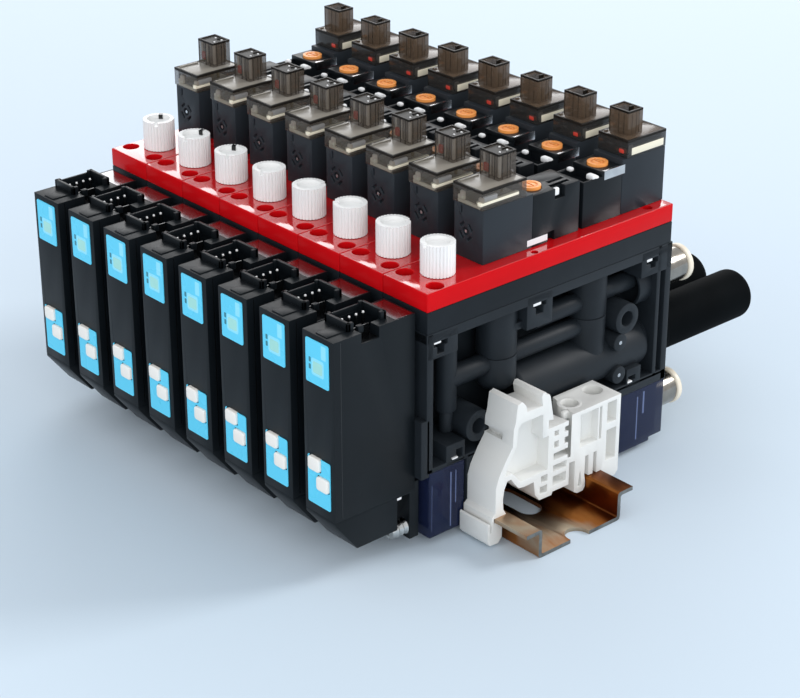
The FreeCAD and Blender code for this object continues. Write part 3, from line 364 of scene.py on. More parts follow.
def plated(name, colour, other, rough, scale=300):
    """Plated or chromated metal whose tone drifts over the surface."""
    material, nodes, links, shader, place = new_finish(name)
    shader.inputs["Metallic"].default_value = 1.0
    tint(nodes, links, shader, place, colour, other, scale)
    slow = noise(nodes, links, place, 500)
    links.new(ranged(nodes, links, slow.outputs["Fac"], rough - 0.06, rough + 0.06),
              shader.inputs["Roughness"])
    add_grain(nodes, links, shader, place, 3000, 0.08)
    return material


print("finish kind ready: plated metal")

# %% [markdown]
# The covers of the coils are smoky and the filter cases dark blue, both see-through. Real refraction in
# thin walls costs much time and shows little, so Alpha mixes the tint with what lies behind, and the
# shader still mirrors the room.

# %% See-through plastic


def see_through(name, colour, opacity, rough, specular=0.5):
    """Thin tinted plastic: it covers part of what lies behind it and mirrors the room."""
    material, nodes, links, shader, place = new_finish(name)
    shader.inputs["Base Color"].default_value = (*colour, 1)
    shader.inputs["Alpha"].default_value = opacity
    shader.inputs["Specular IOR Level"].default_value = specular
    slow = noise(nodes, links, place, 400)
    links.new(ranged(nodes, links, slow.outputs["Fac"], rough, rough + 0.05),
              shader.inputs["Roughness"])
    return material


print("finish kind ready: see-through plastic")

# %% [markdown]
# The rail is steel with a yellow chromate. In reality that film is a cloud of brown, orange and grey
# that follows the rolling direction. A noise stretched by a Mapping node and a ramp of four tones give
# that, and the same noise moves the roughness, so dull clouds are also the dark ones.

# %% Yellow chromate


def chromated(name, tones, scale, rough):
    """Yellow chromate on sheet steel: brown, orange and grey clouds drawn out along the rail."""
    material, nodes, links, shader, place = new_finish(name)
    shader.inputs["Metallic"].default_value = 1.0
    stretch = nodes.new("ShaderNodeMapping")
    stretch.inputs["Scale"].default_value = (0.35, 1.0, 1.0)
    links.new(place.outputs["Object"], stretch.inputs["Vector"])
    clouds = nodes.new("ShaderNodeTexNoise")
    clouds.inputs["Scale"].default_value = scale
    clouds.inputs["Detail"].default_value = 4.0
    clouds.inputs["Distortion"].default_value = 0.8
    links.new(stretch.outputs["Vector"], clouds.inputs["Vector"])
    ramp = nodes.new("ShaderNodeValToRGB")
    ends = ramp.color_ramp.elements
    ends[0].position, ends[1].position = tones[0][0], tones[-1][0]
    ends[0].color, ends[1].color = (*tones[0][1], 1), (*tones[-1][1], 1)
    for position, colour in tones[1:-1]:
        ends.new(position).color = (*colour, 1)
    links.new(clouds.outputs["Fac"], ramp.inputs["Fac"])
    links.new(ramp.outputs["Color"], shader.inputs["Base Color"])
    links.new(ranged(nodes, links, clouds.outputs["Fac"], rough - 0.08, rough + 0.1),
              shader.inputs["Roughness"])
    add_grain(nodes, links, shader, place, 2500, 0.1)
    return material


print("finish kind ready: yellow chromate")

# %% [markdown]
# Red and black are the main colours. The sides of the red plates are satin and their tops mirror the
# room, so the red has two finishes. The blacks differ by a few hundredths: pipes, coils, valves and
# switches are separate mouldings, and the eye parts them by that. The silencers are sintered and hardly
# reflect.

# %% Reds and blacks
red_gloss = moulded("red_gloss", (0.57, 0.005, 0.008), 0.2, 0.03, 0.05, specular=0.06)
red_mirror = moulded("red_mirror", (0.57, 0.005, 0.008), 0.1, 0.02, 0.05)
red_mirror.node_tree.nodes["Principled BSDF"].inputs["IOR"].default_value = 2.5
pipe_black = moulded("pipe_black", (0.0125, 0.0165, 0.0210), 0.5, 0.25, 0.2, specular=0.25)
body_black = moulded("body_black", (0.0085, 0.0115, 0.0150), 0.5, 0.25, 0.2, specular=0.2)
valve_black = moulded("valve_black", (0.0060, 0.0080, 0.0100), 0.38, 0.15, 0.2, specular=0.2)
coil_black = moulded("coil_black", (0.020, 0.025, 0.031), 0.45, 0.25, 0.12, specular=0.22)
switch_black = moulded("switch_black", (0.0050, 0.0072, 0.0092), 0.4, 0.25, 0.15, specular=0.2)
dark_mirror = plated("dark_mirror", (0.29, 0.29, 0.30), (0.24, 0.24, 0.25), 0.14)
gloss_black = moulded("gloss_black", (0.004, 0.0045, 0.005), 0.08, 0.01, 0.1, specular=0.5)
silencer_black = moulded("silencer_black", (0.0025, 0.0035, 0.0042), 0.7, 0.5, 0.3, 2600, specular=0.03)
print("materials so far:", len(bpy.data.materials))

# %% [markdown]
# The knobs, the clamps and the set buttons are white mouldings of three different kinds, the terminal strips
# and release rings are cream, and the override buttons are orange, with their grooves painted darker as
# shade. Pure white is never used: at about 0.87 a white still shows its shading.

# %% Whites, creams and orange
knob_white = moulded("knob_white", (0.87, 0.87, 0.86), 0.35, 0.1, 0.03)
clamp_white = moulded("clamp_white", (0.74, 0.74, 0.715), 0.42, 0.2, 0.03, 3500)
key_white = moulded("key_white", (0.86, 0.83, 0.78), 0.3, 0.05, 0.03)
cream = moulded("cream", (0.80, 0.74, 0.58), 0.32, 0.1, 0.05)
cream_ring = moulded("cream_ring", (0.84, 0.76, 0.62), 0.35, 0.1, 0.05)
orange = moulded("orange", (0.95, 0.36, 0.09), 0.35, 0.1, 0.05, specular=0.35)
orange_groove_shade = moulded("orange_groove_shade", (0.80, 0.24, 0.05), 0.4, 0.1, 0.05, specular=0.3)
print("materials so far:", len(bpy.data.materials))

# %% [markdown]
# The switch front carries a cyan film with a display window. Films are smooth, so they get hardly any
# grain. Small marks, clips, felt and the red lamp of the plug get a finish each, because even a spot of
# two millimetres reads as flat when it borrows its neighbour's.

# %% Films, print and lamps
cyan_film = moulded("cyan_film", (0.11, 0.62, 0.87), 0.28, 0.02, 0.02, specular=0.3)
cyan_pale = moulded("cyan_pale", (0.27, 0.74, 0.92), 0.28, 0.02, 0.02, specular=0.35)
lens_green = moulded("lens_green", (0.36, 0.72, 0.66), 0.12, 0.01, 0.05)
mark_dark = moulded("mark_dark", (0.03, 0.20, 0.26), 0.2, 0.02, 0.1)
paper_white = moulded("paper_white", (0.80, 0.80, 0.80), 0.5, 0.1, 0.04)
felt_white = moulded("felt_white", (0.75, 0.75, 0.72), 0.9, 0.9, 0.08, 1500)
lamp_red = moulded("lamp_red", (0.60, 0.05, 0.035), 0.2, 0.02, 0.1)
print("materials so far:", len(bpy.data.materials))

# %% [markdown]
# Smoky plastic looks lighter on top, where it mirrors the sky, and darker along its edges, where light
# travels through more of it. Instead of one physical glass there are a few tints with their own opacity,
# chosen by looking at the photograph. The lighter lid tint is painted sheen, and the near-black tint of
# edges, rims and fins is painted shade.

# %% Smoky and blue plastics
smoky = see_through("smoky", (0.070, 0.060, 0.050), 0.52, 0.1, 0.35)
# The lighter tint below paints the sheen of the lids.
smoky_top_painted_sheen = see_through("smoky_top_painted_sheen", (0.30, 0.275, 0.235), 0.78, 0.2, 0.35)
smoky_tower = see_through("smoky_tower", (0.085, 0.068, 0.054), 0.62, 0.12, 0.3)
smoky_brown = see_through("smoky_brown", (0.105, 0.072, 0.048), 0.78, 0.12, 0.3)
smoky_dark = see_through("smoky_dark", (0.032, 0.031, 0.030), 0.80, 0.12, 0.3)
# The near-black tint below is painted shade on lips, rims, keys, fins and the tower lid.
smoky_edge_painted_shade = see_through("smoky_edge_painted_shade", (0.014, 0.012, 0.010), 0.92, 0.4, 0.12)
contact_pale = moulded("contact_pale", (0.72, 0.64, 0.54), 0.4, 0.05, 0.1)
blue_clear = see_through("blue_clear", (0.010, 0.015, 0.045), 0.84, 0.08, 0.25)
# The paler blue below paints the highlight lines in the cups.
blue_painted_highlight = see_through("blue_painted_highlight", (0.13, 0.17, 0.31), 0.8, 0.1)
print("materials so far:", len(bpy.data.materials))

# %% [markdown]
# Nickel on the sleeves, bright steel on the screws, gold on the contacts, brass inside the body, and the
# rail with its bare cut ends. Each takes two near tones, between which the plating drifts.

# %% Metals
nickel = plated("nickel", (0.34, 0.31, 0.27), (0.25, 0.235, 0.21), 0.2)
steel = plated("steel", (0.62, 0.62, 0.62), (0.5, 0.5, 0.51), 0.22)
thread_steel = plated("thread_steel", (0.66, 0.66, 0.64), (0.5, 0.5, 0.49), 0.22)
gold = plated("gold", (0.86, 0.78, 0.6), (0.7, 0.6, 0.4), 0.25)
brass = plated("brass", (0.72, 0.52, 0.2), (0.6, 0.42, 0.16), 0.3)
RAIL_TONES = ((0.30, (0.045, 0.014, 0.006)), (0.44, (0.16, 0.046, 0.011)), (0.56, (0.40, 0.145, 0.034)),
              (0.70, (0.50, 0.40, 0.29)))
chromate = chromated("chromate", RAIL_TONES, 60, 0.30)
cut_steel = plated("cut_steel", (0.30, 0.30, 0.28), (0.16, 0.16, 0.15), 0.45)

print("rail tones:", len(RAIL_TONES))

# %% [markdown]
# A visual piece has three things said about it: which material slot of the record it stands for, which body
# it moves with, and which CAD node it takes the place of. One helper takes all three, so that none is
# forgotten: it moves the piece with its body, hides the node it replaces, and prints the slot with what it
# dressed.

# %% Give a piece its finish and its place in the frame


def dress(piece, material, slot_name, body="manifold", replaces=()):
    """Finish a piece; a piece that already has materials keeps them."""
    if material is not None:
        piece.data.materials.clear()
        piece.data.materials.append(material)
    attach(piece, body)
    if replaces:
        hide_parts(*replaces)
    print(f"{piece.name}: {len(piece.data.polygons)} faces, slot {slot_name}, moves with {body}")
    return piece


print("helpers ready: dress")

# %% [markdown]
# Parts of one moulding can differ in colour, so a part is painted before it is joined, and the joined
# piece keeps both materials. Places across a station are given from its middle, because the station is
# nearly symmetric there.

# %% Paint parts, measure across a station


def painted(piece, material):
    """Set the material of a part before it is joined to others."""
    piece.data.materials.clear()
    piece.data.materials.append(material)
    return piece


def local(*offsets):
    """Limits across the first station, from offsets to its centre."""
    return tuple(FIRST_X + value for value in offsets)


across = local(-SLICE / 2, SLICE / 2)
print("first station spans", [round(value, 2) for value in across], "mm")

# %% [markdown]
# The top plates are glossy red mouldings. Each is a block with its edges rounded, and the screw holes
# are bored through with a shallow countersink, because that bright ring is what the eye finds first.

# %% Top plates
plate_low, plate_high = node_span("top_plates")
PLATE_TOP = plate_high[2]
PLATE_FRONT, PLATE_REAR = plate_low[1], plate_high[1]
HOLE_ROW = PLATE_FRONT + 4.4
VALVE_CENTRE = -0.7


def bored(name, x, y, radius, lip=0.35):
    """Tool for a countersunk hole in the top plate."""
    shaft = rod(name, "z", (plate_low[2] - 1, PLATE_TOP + 1), (x, y), radius, 28)
    mouth = rod(f"{name}_lip", "z", (PLATE_TOP - lip, PLATE_TOP + lip), (x, y), radius, 28, radius + 2 * lip)
    return [shaft, mouth]


print("plate top at", round(PLATE_TOP, 2), "mm")

# %% [markdown]
# The plate of one station is a block with rounded edges. Two screw holes in front and two small ones at
# the side and rear go through it, and a sunk plug stands for the screw in the depth of each front hole.
# Cutting real holes lets their walls catch the red light from inside.

# %% Bore one plate
top_plate = block("top_plate_row", across, (PLATE_FRONT, PLATE_REAR), (plate_low[2], PLATE_TOP))
soften(top_plate, 0.3, 3)
HOLES = (("screw_a", -5.0, HOLE_ROW, 2.0), ("screw_b", 5.0, HOLE_ROW, 2.0),
         ("side", 6.2, 3.8, 0.8), ("rear", 5.0, 42.6, 1.2))
for label, offset, place, radius in HOLES:
    shaft, mouth = bored(label, FIRST_X + offset, place, radius, 0.15)
    carve(top_plate, shaft)
    carve(top_plate, mouth)
for offset in (-5.0, 5.0):
    plug = soften(rod("screw_plug", "z", (plate_low[2] + 0.5, PLATE_TOP - 1.5), (FIRST_X + offset, HOLE_ROW),
                      1.95, 28), 0.3)
    top_plate = weld("top_plate_row", top_plate, plug)
print("holes per plate:", len(HOLES))

# %% [markdown]
# The plates stand side by side with a hair of a gap. Only the upward faces get the mirror finish: they
# are picked by their normal and height, and assigned to the second material slot.

# %% Repeat and polish the plates
station_row(top_plate)
bpy.ops.object.shade_smooth_by_angle(angle=math.radians(SMOOTH_BELOW))
painted(top_plate, red_gloss)
top_plate.data.materials.append(red_mirror)
pick(top_plate, lambda c, n: n.z > 0.9 and c.z > PLATE_TOP - 0.1)
top_plate.active_material_index = 1
bpy.ops.object.material_slot_assign()
leave_edit()
dress(top_plate, None, "red_plate", replaces=["top_plates"])

# %% [markdown]
# Between the red plate and the ejector body sits a plain black block that seals the two. On the real
# object only its satin edge shows, so a rounded block is enough here.

# %% Adapter blocks under the plates
adapter_low, adapter_high = node_span("adapter_blocks")
adapter = block("adapter_row", across, (adapter_low[1], adapter_high[1]), (adapter_low[2], adapter_high[2]))
soften(adapter, 0.25)
dress(station_row(adapter), body_black, "black_body", replaces=["adapter_blocks"])

# %% [markdown]
# The needle knobs are white and knurled. A many-sided cylinder gets every second column of vertices
# pulled in, which leaves fine vertical ribs. The top is inset and pushed down into a dish, and a
# screwdriver slot crosses the rim. Every knob stands at its own angle, as after a real adjustment.

# %% Needle knobs
KNOB_TURNS = (0.0, 150.0, -60.0, 150.0, 20.0, 37.6, 15.8, 42.8)
FIRST_SHADED_SLOT = 6
RIBS = 30


def knurled(name, x, y, base, high):
    """A dished cylinder with thin grooves pulled into its side."""
    head = rod(name, "z", (base, high), (x, y), 4.0, RIBS * 4)
    pick(head, lambda c, n: n.z > 0.9)
    bpy.ops.mesh.inset(thickness=0.55 * MM, depth=0)
    bpy.ops.mesh.inset(thickness=0.55 * MM, depth=0)
    bpy.ops.mesh.extrude_region_shrink_fatten(TRANSFORM_OT_shrink_fatten={"value": -1.1 * MM})
    bpy.ops.mesh.inset(thickness=1.4 * MM, depth=-0.3 * MM)
    bpy.ops.mesh.select_mode(type="VERT")
    bpy.ops.mesh.select_all(action="DESELECT")
    leave_edit()
    for vertex in head.data.vertices:
        across_x, across_y = vertex.co.x / MM - x, vertex.co.y / MM - y
        step = round(math.atan2(across_y, across_x) / (2 * math.pi) * RIBS * 4)
        vertex.select = math.hypot(across_x, across_y) > 3.9 and step % 4 == 0
    bpy.ops.object.mode_set(mode="EDIT")
    bpy.ops.transform.resize(value=(0.92, 0.92, 1), center_override=(x * MM, y * MM, base * MM))
    leave_edit()
    return head


print("ribs round a knob:", RIBS)

# %% [markdown]
# Under the head is the stem that turns in the plate. The whole knob is modelled facing the same way and then
# turned about its own axis in edit mode. Three knobs get a small dark block on the rim across from the cut
# slot, as painted shade where the deep slot shows dark.

# %% A whole knob


def knob(name, centre, turn, slot_shaded):
    """Head with slot, stem and, on some, a dark block of painted slot shade, turned by an angle."""
    x, y = centre
    low, high = first_knob[0][2], first_knob[1][2]
    base = PLATE_TOP + 0.15
    head = knurled(name, x, y, base, high)
    slot = block("slot", (x - 0.45, x + 0.45), (y - 5, y - 1.2), (high - 0.9, high + 1))
    carve(head, slot)
    painted(head, knob_white)
    stem = painted(rod(f"{name}_stem", "z", (low, base + 1), (x, y), 2.0, 24), knob_white)
    head = weld(name, head, stem)
    if slot_shaded:
        # A dark block on the rim, painted shade for the deep slot.
        mark = block("slot_painted_shade", (x - 0.5, x + 0.5), (y + 2.6, y + 3.75), (high - 1.4, high + 0.02))
        head = weld(name, head, painted(mark, gloss_black))
    activate(head)
    bpy.ops.object.mode_set(mode="EDIT")
    bpy.ops.mesh.select_all(action="SELECT")
    bpy.ops.transform.rotate(value=-math.radians(turn), orient_axis="Z",
                             center_override=(x * MM, y * MM, base * MM))
    leave_edit()
    bpy.ops.object.shade_smooth_by_angle(angle=math.radians(25))
    return head


print("knobs with a mark from station", FIRST_SHADED_SLOT)

# %% [markdown]
# Every knob turns on its own, so each is its own piece on its own body and not part of a row. The angles
# follow the photograph.

# %% A knob on every station
KNOB_Y = (first_knob[0][1] + first_knob[1][1]) / 2
for number, turn in enumerate(KNOB_TURNS, start=1):
    piece = knob(f"needle_knob_{number}", (FIRST_X - (number - 1) * PITCH, KNOB_Y), turn,
                 number >= FIRST_SHADED_SLOT)
    dress(piece, None, "white_knob", f"knob_{number}", [f"knob_{number}"])

# %% [markdown]
# A pilot valve is a coil housing and a valve body side by side. Both are blocks with small rounded
# edges. The features that tell the kind are cut in or laid on: the slot and the pin with its notches
# on the coil's face, the recess on the body's top, the label at its foot.

# %% Measure the valves
valve_low, valve_high = node_span("valve_bodies")
coil_low, coil_high = node_span("coil_housings")
VALVE = local(VALVE_CENTRE - 4.8, VALVE_CENTRE + 4.8)
SEAM_FRONT = valve_low[1]
SUPPLY_REAR, RELEASE_FRONT = 20.2, 21.4
RELEASE_SEAM = valve_high[1]
SUPPLY_COIL_TOP = 77.9
RELEASE_COIL_TOP = coil_high[2]
VALVE_TOP = valve_high[2] + 0.6
right = VALVE[1]
print("valve top at", round(VALVE_TOP, 2), "mm")

# %% [markdown]
# The front valve of each station lets supply air in. Its body has a round well for the orange button, two
# grooves on top, and notches at the side and the foot. A small white block in the side notch is a painted
# highlight. The well goes deeper than the button travels, so that the pressed button has room.

# %% Supply valve body
supply_body = block("supply_body", VALVE, (SEAM_FRONT, SUPPLY_REAR), (PLATE_TOP, VALVE_TOP))


def sink_well(piece, y):
    """Bore for a press button and, below it, for its stem."""
    at = (FIRST_X + VALVE_CENTRE, y)
    carve(piece, rod("well", "z", (VALVE_TOP - 3.5, VALVE_TOP + 1), at, 2.62, 36))
    carve(piece, rod("stem_bore", "z", (VALVE_TOP - 7.8, VALVE_TOP - 3), at, 1.2, 24))


sink_well(supply_body, 8.8)
above = VALVE_TOP + 1
for label, x, y, z in (("groove_a", (right - 2.6, right - 1.7), (12.4, 18.4), (VALVE_TOP - 1.2, above)),
                       ("groove_b", (right - 4.6, right - 3.6), (13.6, 18.4), (VALVE_TOP - 1.2, above)),
                       ("side_notch", (right - 1.6, right + 1), (12.2, 15.4), (VALVE_TOP - 2.7, above)),
                       ("foot_notch", (right - 1.2, right + 1), (10.2, 12.2),
                        (PLATE_TOP - 1, PLATE_TOP + 2.4))):
    carve(supply_body, block(label, x, y, z))
soften(supply_body, 0.22)
print("supply body faces:", len(supply_body.data.polygons))

# %% [markdown]
# The coil housing in front of it is a tall box. Its face shows a small steel pin in a well, four slanted
# notches round it and a slit above. The notches are one block that is turned about the pin by four
# angles, with center_override, because the pivot setting needs a window.

# %% Coil of the supply valve
supply_coil = block("supply_coil", VALVE, (coil_low[1], SEAM_FRONT), (PLATE_TOP, SUPPLY_COIL_TOP))
PIN_X, PIN_Z = FIRST_X - 1.65, 71.3
face = (coil_low[1] - 1, coil_low[1] + 0.6)
carve(supply_coil, block("slit", (PIN_X - 1.7, PIN_X - 1.3), face, (75.4, 77.2)))
for angle in (40, 130, 220, 310):
    tool = block("notch", (PIN_X - 0.9, PIN_X + 0.9), face, (PIN_Z + 1.6, PIN_Z + 2.2))
    activate(tool)
    bpy.ops.object.mode_set(mode="EDIT")
    bpy.ops.mesh.select_all(action="SELECT")
    bpy.ops.transform.rotate(value=math.radians(angle), orient_axis="Y",
                             center_override=(PIN_X * MM, 0, PIN_Z * MM))
    leave_edit()
    carve(supply_coil, tool)
carve(supply_coil, rod("pin_well", "y", face, (PIN_X, PIN_Z), 0.95, 20))
soften(supply_coil, 0.25)
coil_pin = rod("coil_pin", "y", (coil_low[1] + 0.1, coil_low[1] + 0.7), (PIN_X, PIN_Z), 0.4, 16)
painted(coil_pin, steel)
painted(supply_coil, coil_black)
painted(supply_body, valve_black)
print("coil front at", round(coil_low[1], 2), "mm")

# %% [markdown]
# The rear valve releases the part that the vacuum holds. Its top is lower in front, with a recess for
# the white clips, and a bridge at the back carries the second orange button. Behind it stands the taller
# coil.

# %% Release valves behind
release_body = block("release_body", VALVE, (RELEASE_FRONT, RELEASE_SEAM), (PLATE_TOP, VALVE_TOP - 1.1))
carve(release_body, block("recess", (VALVE[0] + 0.7, right - 0.7), (RELEASE_FRONT + 0.7, 28.0),
                          (VALVE_TOP - 3.6, VALVE_TOP + 1)))
soften(release_body, 0.22)
bridge = block("release_bridge", VALVE, (27.6, RELEASE_SEAM), (VALVE_TOP - 1.3, VALVE_TOP))
carve(bridge, rod("well", "z", (VALVE_TOP - 2.6, VALVE_TOP + 1), (FIRST_X + VALVE_CENTRE, 30.9), 2.62, 36))
sink_well(release_body, 30.9)
soften(bridge, 0.15)
release_coil = block("release_coil", VALVE, (RELEASE_SEAM, coil_high[1]), (PLATE_TOP, RELEASE_COIL_TOP))
soften(release_coil, 0.25)
print("release coil top at", round(RELEASE_COIL_TOP, 2), "mm")

# %% [markdown]
# Small bright parts tell the kind of the valve: a bent metal strip along the near edge, white clips in the
# recess, a small white block in the side notch of the supply valve as a painted highlight, and a bare label
# at its foot. They are rounded a lot for their size, as punched and moulded small parts are.

# %% Clips, label and metal strip
silver_edge = block("silver_edge", (right - 0.75, right + 0.02), (28.3, RELEASE_SEAM + 0.9),
                    (VALVE_TOP - 2.2, VALVE_TOP + 0.05))
soften(silver_edge, 0.08, 2)
clip_a = block("clip_a", (right - 2.6, right - 0.2), (24.6, 26.3), (VALVE_TOP - 1.7, VALVE_TOP - 0.3))
clip_a_knob = block("clip_a_knob", (right - 1.3, right - 0.1), (25.4, 26.8),
                    (VALVE_TOP - 2.6, VALVE_TOP - 0.6))
clip_b = block("clip_b", (VALVE[0] + 0.6, VALVE[0] + 2.2), (24.6, 26.0), (VALVE_TOP - 1.5, VALVE_TOP - 0.5))
for clip in (clip_a, clip_a_knob, clip_b):
    soften(clip, 0.45, 3)
    painted(clip, paper_white)
# This white block in the side notch is a painted highlight.
side_notch_glint = block("side_notch_glint", (right - 1.2, right - 0.1), (12.0, 13.7), (VALVE_TOP - 1.9, VALVE_TOP - 0.1))
soften(side_notch_glint, 0.35, 3)
painted(side_notch_glint, paper_white)
foot_label = block("foot_label", (right - 0.05, right + 0.02), (3.5, 10.0),
                   (PLATE_TOP + 0.6, PLATE_TOP + 2.1))
painted(foot_label, paper_white)
painted(silver_edge, steel)
for part in (release_body, bridge):
    painted(part, valve_black)
painted(release_coil, coil_black)
print("metal strip starts at", round(right - 0.75, 2), "mm")

# %% [markdown]
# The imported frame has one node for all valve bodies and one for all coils, so the parts are joined in
# these two groups, repeated along the rail and dressed.

# %% Rows of valves and coils
valve_row = weld("valve_body_row", supply_body, release_body, bridge, silver_edge, clip_a, clip_a_knob,
                 clip_b, side_notch_glint, foot_label)
dress(station_row(valve_row), None, "black_body", replaces=["valve_bodies"])
coil_row = weld("coil_housing_row", supply_coil, release_coil, coil_pin)
dress(station_row(coil_row), None, "black_gloss", replaces=["coil_housings"])

# %% [markdown]
# Each valve can be worked by hand with an orange button. Its top has a raised ring, a groove and a flat
# with a cross slot. A cylinder's top face is inset four times, and each inset goes down or up a little,
# which is the quickest way to rings by hand as well.

# %% Orange overrides


def override(name, centre, high):
    """A button with a ringed, slotted top and its stem."""
    x, y = centre
    head = rod(name, "z", (high - 3.0, high), (x, y), 2.5, 40)
    pick(head, lambda c, n: n.z > 0.9)
    bpy.ops.mesh.inset(thickness=0.75 * MM, depth=0)
    bpy.ops.mesh.inset(thickness=0.1 * MM, depth=-0.16 * MM)
    bpy.ops.mesh.inset(thickness=0.35 * MM, depth=0)
    bpy.ops.mesh.inset(thickness=0.1 * MM, depth=0.16 * MM)
    leave_edit()
    cross = block("cross", (x - 1.15, x + 1.15), (y - 0.2, y + 0.2), (high - 0.35, high + 1))
    carve(head, cross)
    soften(head, 0.12)
    head.data.materials.clear()
    head.data.materials.append(orange)
    head.data.materials.append(orange_groove_shade)
    # Faces sunk below the top inside the ring take the darker orange as painted shade.
    for face in head.data.polygons:
        reach = math.hypot(face.center.x / MM - x, face.center.y / MM - y)
        face.material_index = int(face.center.z / MM < high - 0.08 and reach < 2.0)
    stem = painted(rod(f"{name}_stem", "z", (high - 7.0, high - 2.5), (x, y), 1.0, 20), orange)
    return weld(name, head, stem)


print("helpers ready: override")

# %% [markdown]
# The buttons slide down on their own, so each rides on its own body. Their place is read from the CAD
# nodes of the first station.

# %% Two buttons on every station
BUTTON_TOP = VALVE_TOP + 0.6
for kind in ("supply", "release"):
    low, high = node_span(f"{kind}_override_1")
    place = ((low[0] + high[0]) / 2, (low[1] + high[1]) / 2)
    for number in range(1, STATIONS + 1):
        shift = (number - 1) * PITCH
        piece = override(f"{kind}_button_{number}", (place[0] - shift, place[1]), BUTTON_TOP)
        dress(piece, None, "orange_button", f"{kind}_override_{number}", [f"{kind}_override_{number}"])

# %% [markdown]
# Each coil carries a smoky transparent cover with a plug tower. A tinted cover is only convincing
# when there is something inside, so the cream terminal strip, its gold feet, the contacts and the
# small red lamp are modelled too.

# %% Connector covers
cover_low, cover_high = node_span("connector_covers")
strip_high = node_span("terminal_strips")[1]
TOWER = local(-4.6, 1.6)
TOWER_TOP = cover_high[2]
STRIP = local(VALVE_CENTRE - 3.6, VALVE_CENTRE + 3.6)


def cover_shell(name, front, rear, base, top, wall_finish, lid_finish):
    """Open box, its lid, and the lip round the lid that takes the painted edge shade."""
    wide = local(VALVE_CENTRE - 4.8, VALVE_CENTRE + 4.8)
    shell = block(name, wide, (front, rear), (base, top - 0.5))
    carve(shell, block("inside", local(VALVE_CENTRE - 4.1, VALVE_CENTRE + 4.1),
                       (front + 0.7, rear - 0.7), (base - 1, top + 1)))
    soften(shell, 0.12)
    painted(shell, wall_finish)
    lid = block("lid", (wide[0] + 0.3, wide[1] - 0.3), (front + 0.3, rear - 0.3), (top - 0.5, top - 0.05))
    painted(soften(lid, 0.12), lid_finish)
    lip = block("lip", wide, (front, rear), (top - 0.65, top))
    carve(lip, block("lip_hole", (wide[0] + 0.55, wide[1] - 0.55), (front + 0.55, rear - 0.55),
                     (top - 1, top + 1)))
    return shell, lid, lip


print("plug towers end at", round(TOWER_TOP, 2), "mm")

# %% [markdown]
# The plug tower stands on the lid. Its wall is a see-through box, open at the top, with a rim, a key and
# three thin fins on two sides, tinted near-black as painted shade. In the photograph those fins are what
# gives the tower its stripes.

# %% Tower of a cover


def cover_tower(name, top, tower_y, tower_finish):
    """See-through tower, and its rim, key and fins, which take the near-black painted shade."""
    tower = block(f"{name}_tower", TOWER, tower_y, (top - 0.1, TOWER_TOP - 0.25))
    carve(tower, block("socket", (TOWER[0] + 0.7, TOWER[1] - 0.7), (tower_y[0] + 0.7, tower_y[1] - 0.7),
                       (top + 0.2, TOWER_TOP + 1)))
    soften(tower, 0.12)
    painted(tower, tower_finish)
    rim = block("rim", TOWER, tower_y, (TOWER_TOP - 0.55, TOWER_TOP))
    carve(rim, block("rim_hole", (TOWER[0] + 0.5, TOWER[1] - 0.5), (tower_y[0] + 0.5, tower_y[1] - 0.5),
                     (TOWER_TOP - 1, TOWER_TOP + 1)))
    key = block("key", (TOWER[1] - 3.0, TOWER[1] - 2.6), (tower_y[1] - 1.9, tower_y[1] - 0.3),
                (TOWER_TOP - 1.2, TOWER_TOP - 0.02))
    dark = [rim, key]
    fin_z = (top, TOWER_TOP - 0.4)
    for at in (TOWER[0] + 0.15, TOWER[0] + 3.0, TOWER[0] + 4.7):
        dark.append(block("fin", (at, at + 0.22), (tower_y[0] - 0.02, tower_y[0] + 0.2), fin_z))
    for at in (tower_y[0] + 1.2, tower_y[0] + 2.7, tower_y[0] + 3.6):
        dark.append(block("fin", (TOWER[1] - 0.2, TOWER[1] + 0.02), (at, at + 0.18), fin_z))
    return tower, dark


def cover(name, y, z, tower_y, wall_finish, tower_finish, lid_finish):
    """A whole cover: shell, lid, bar on the lid, and tower."""
    shell, lid, lip = cover_shell(name, *y, *z, wall_finish, lid_finish)
    left, top = VALVE[0], z[1]
    bar = block("bar", (left + 0.8, left + 1.5), (y[0] + 0.9, tower_y[0] - 0.6), (top - 0.1, top + 0.25))
    painted(soften(bar, 0.12), lid_finish)
    tower, dark = cover_tower(name, top, tower_y, tower_finish)
    dark.insert(0, lip)
    # The lip, rim, key and fins get the near-black tint as painted shade.
    for part in dark:
        soften(part, 0.05, 1)
        painted(part, smoky_edge_painted_shade)
    return weld(name, shell, lid, bar, tower, *dark)


print("helpers ready: cover_shell, cover_tower, cover")

# %% [markdown]
# The front cover is wide and light, the rear one short and brown: their tints paint in how the light falls
# through them differently, so the rear cover's darker, browner tints are painted shade. The front tower is
# closed by a dark lid just under its rim.

# %% Covers of both coils
supply_cover = cover("supply_cover", (cover_low[1], 2.9), (SUPPLY_COIL_TOP, 82.5), (-3.6, 1.9), smoky,
                     smoky_tower, smoky_top_painted_sheen)
release_cover = cover("release_cover", (35.9, cover_high[1]), (RELEASE_COIL_TOP, 82.9), (38.4, 43.4),
                      smoky_dark, smoky_brown, smoky_brown)
supply_lid = block("tower_lid", (TOWER[0] + 0.4, TOWER[1] - 0.4), (-3.2, 1.5),
                   (TOWER_TOP - 0.5, TOWER_TOP - 0.3))
cover_row = weld("connector_cover_row", supply_cover, release_cover, painted(supply_lid, smoky_edge_painted_shade))
dress(station_row(cover_row), None, "smoky_cover", replaces=["connector_covers"])

# %% [markdown]
# Under each cover lies a cream strip that carries the contacts: a base, a bar along each side, two
# rounded feet with pads, and a red lamp. The near bar is what shows through the cover's side, so it
# stands just proud of the coil.

# %% Terminal strips inside the covers


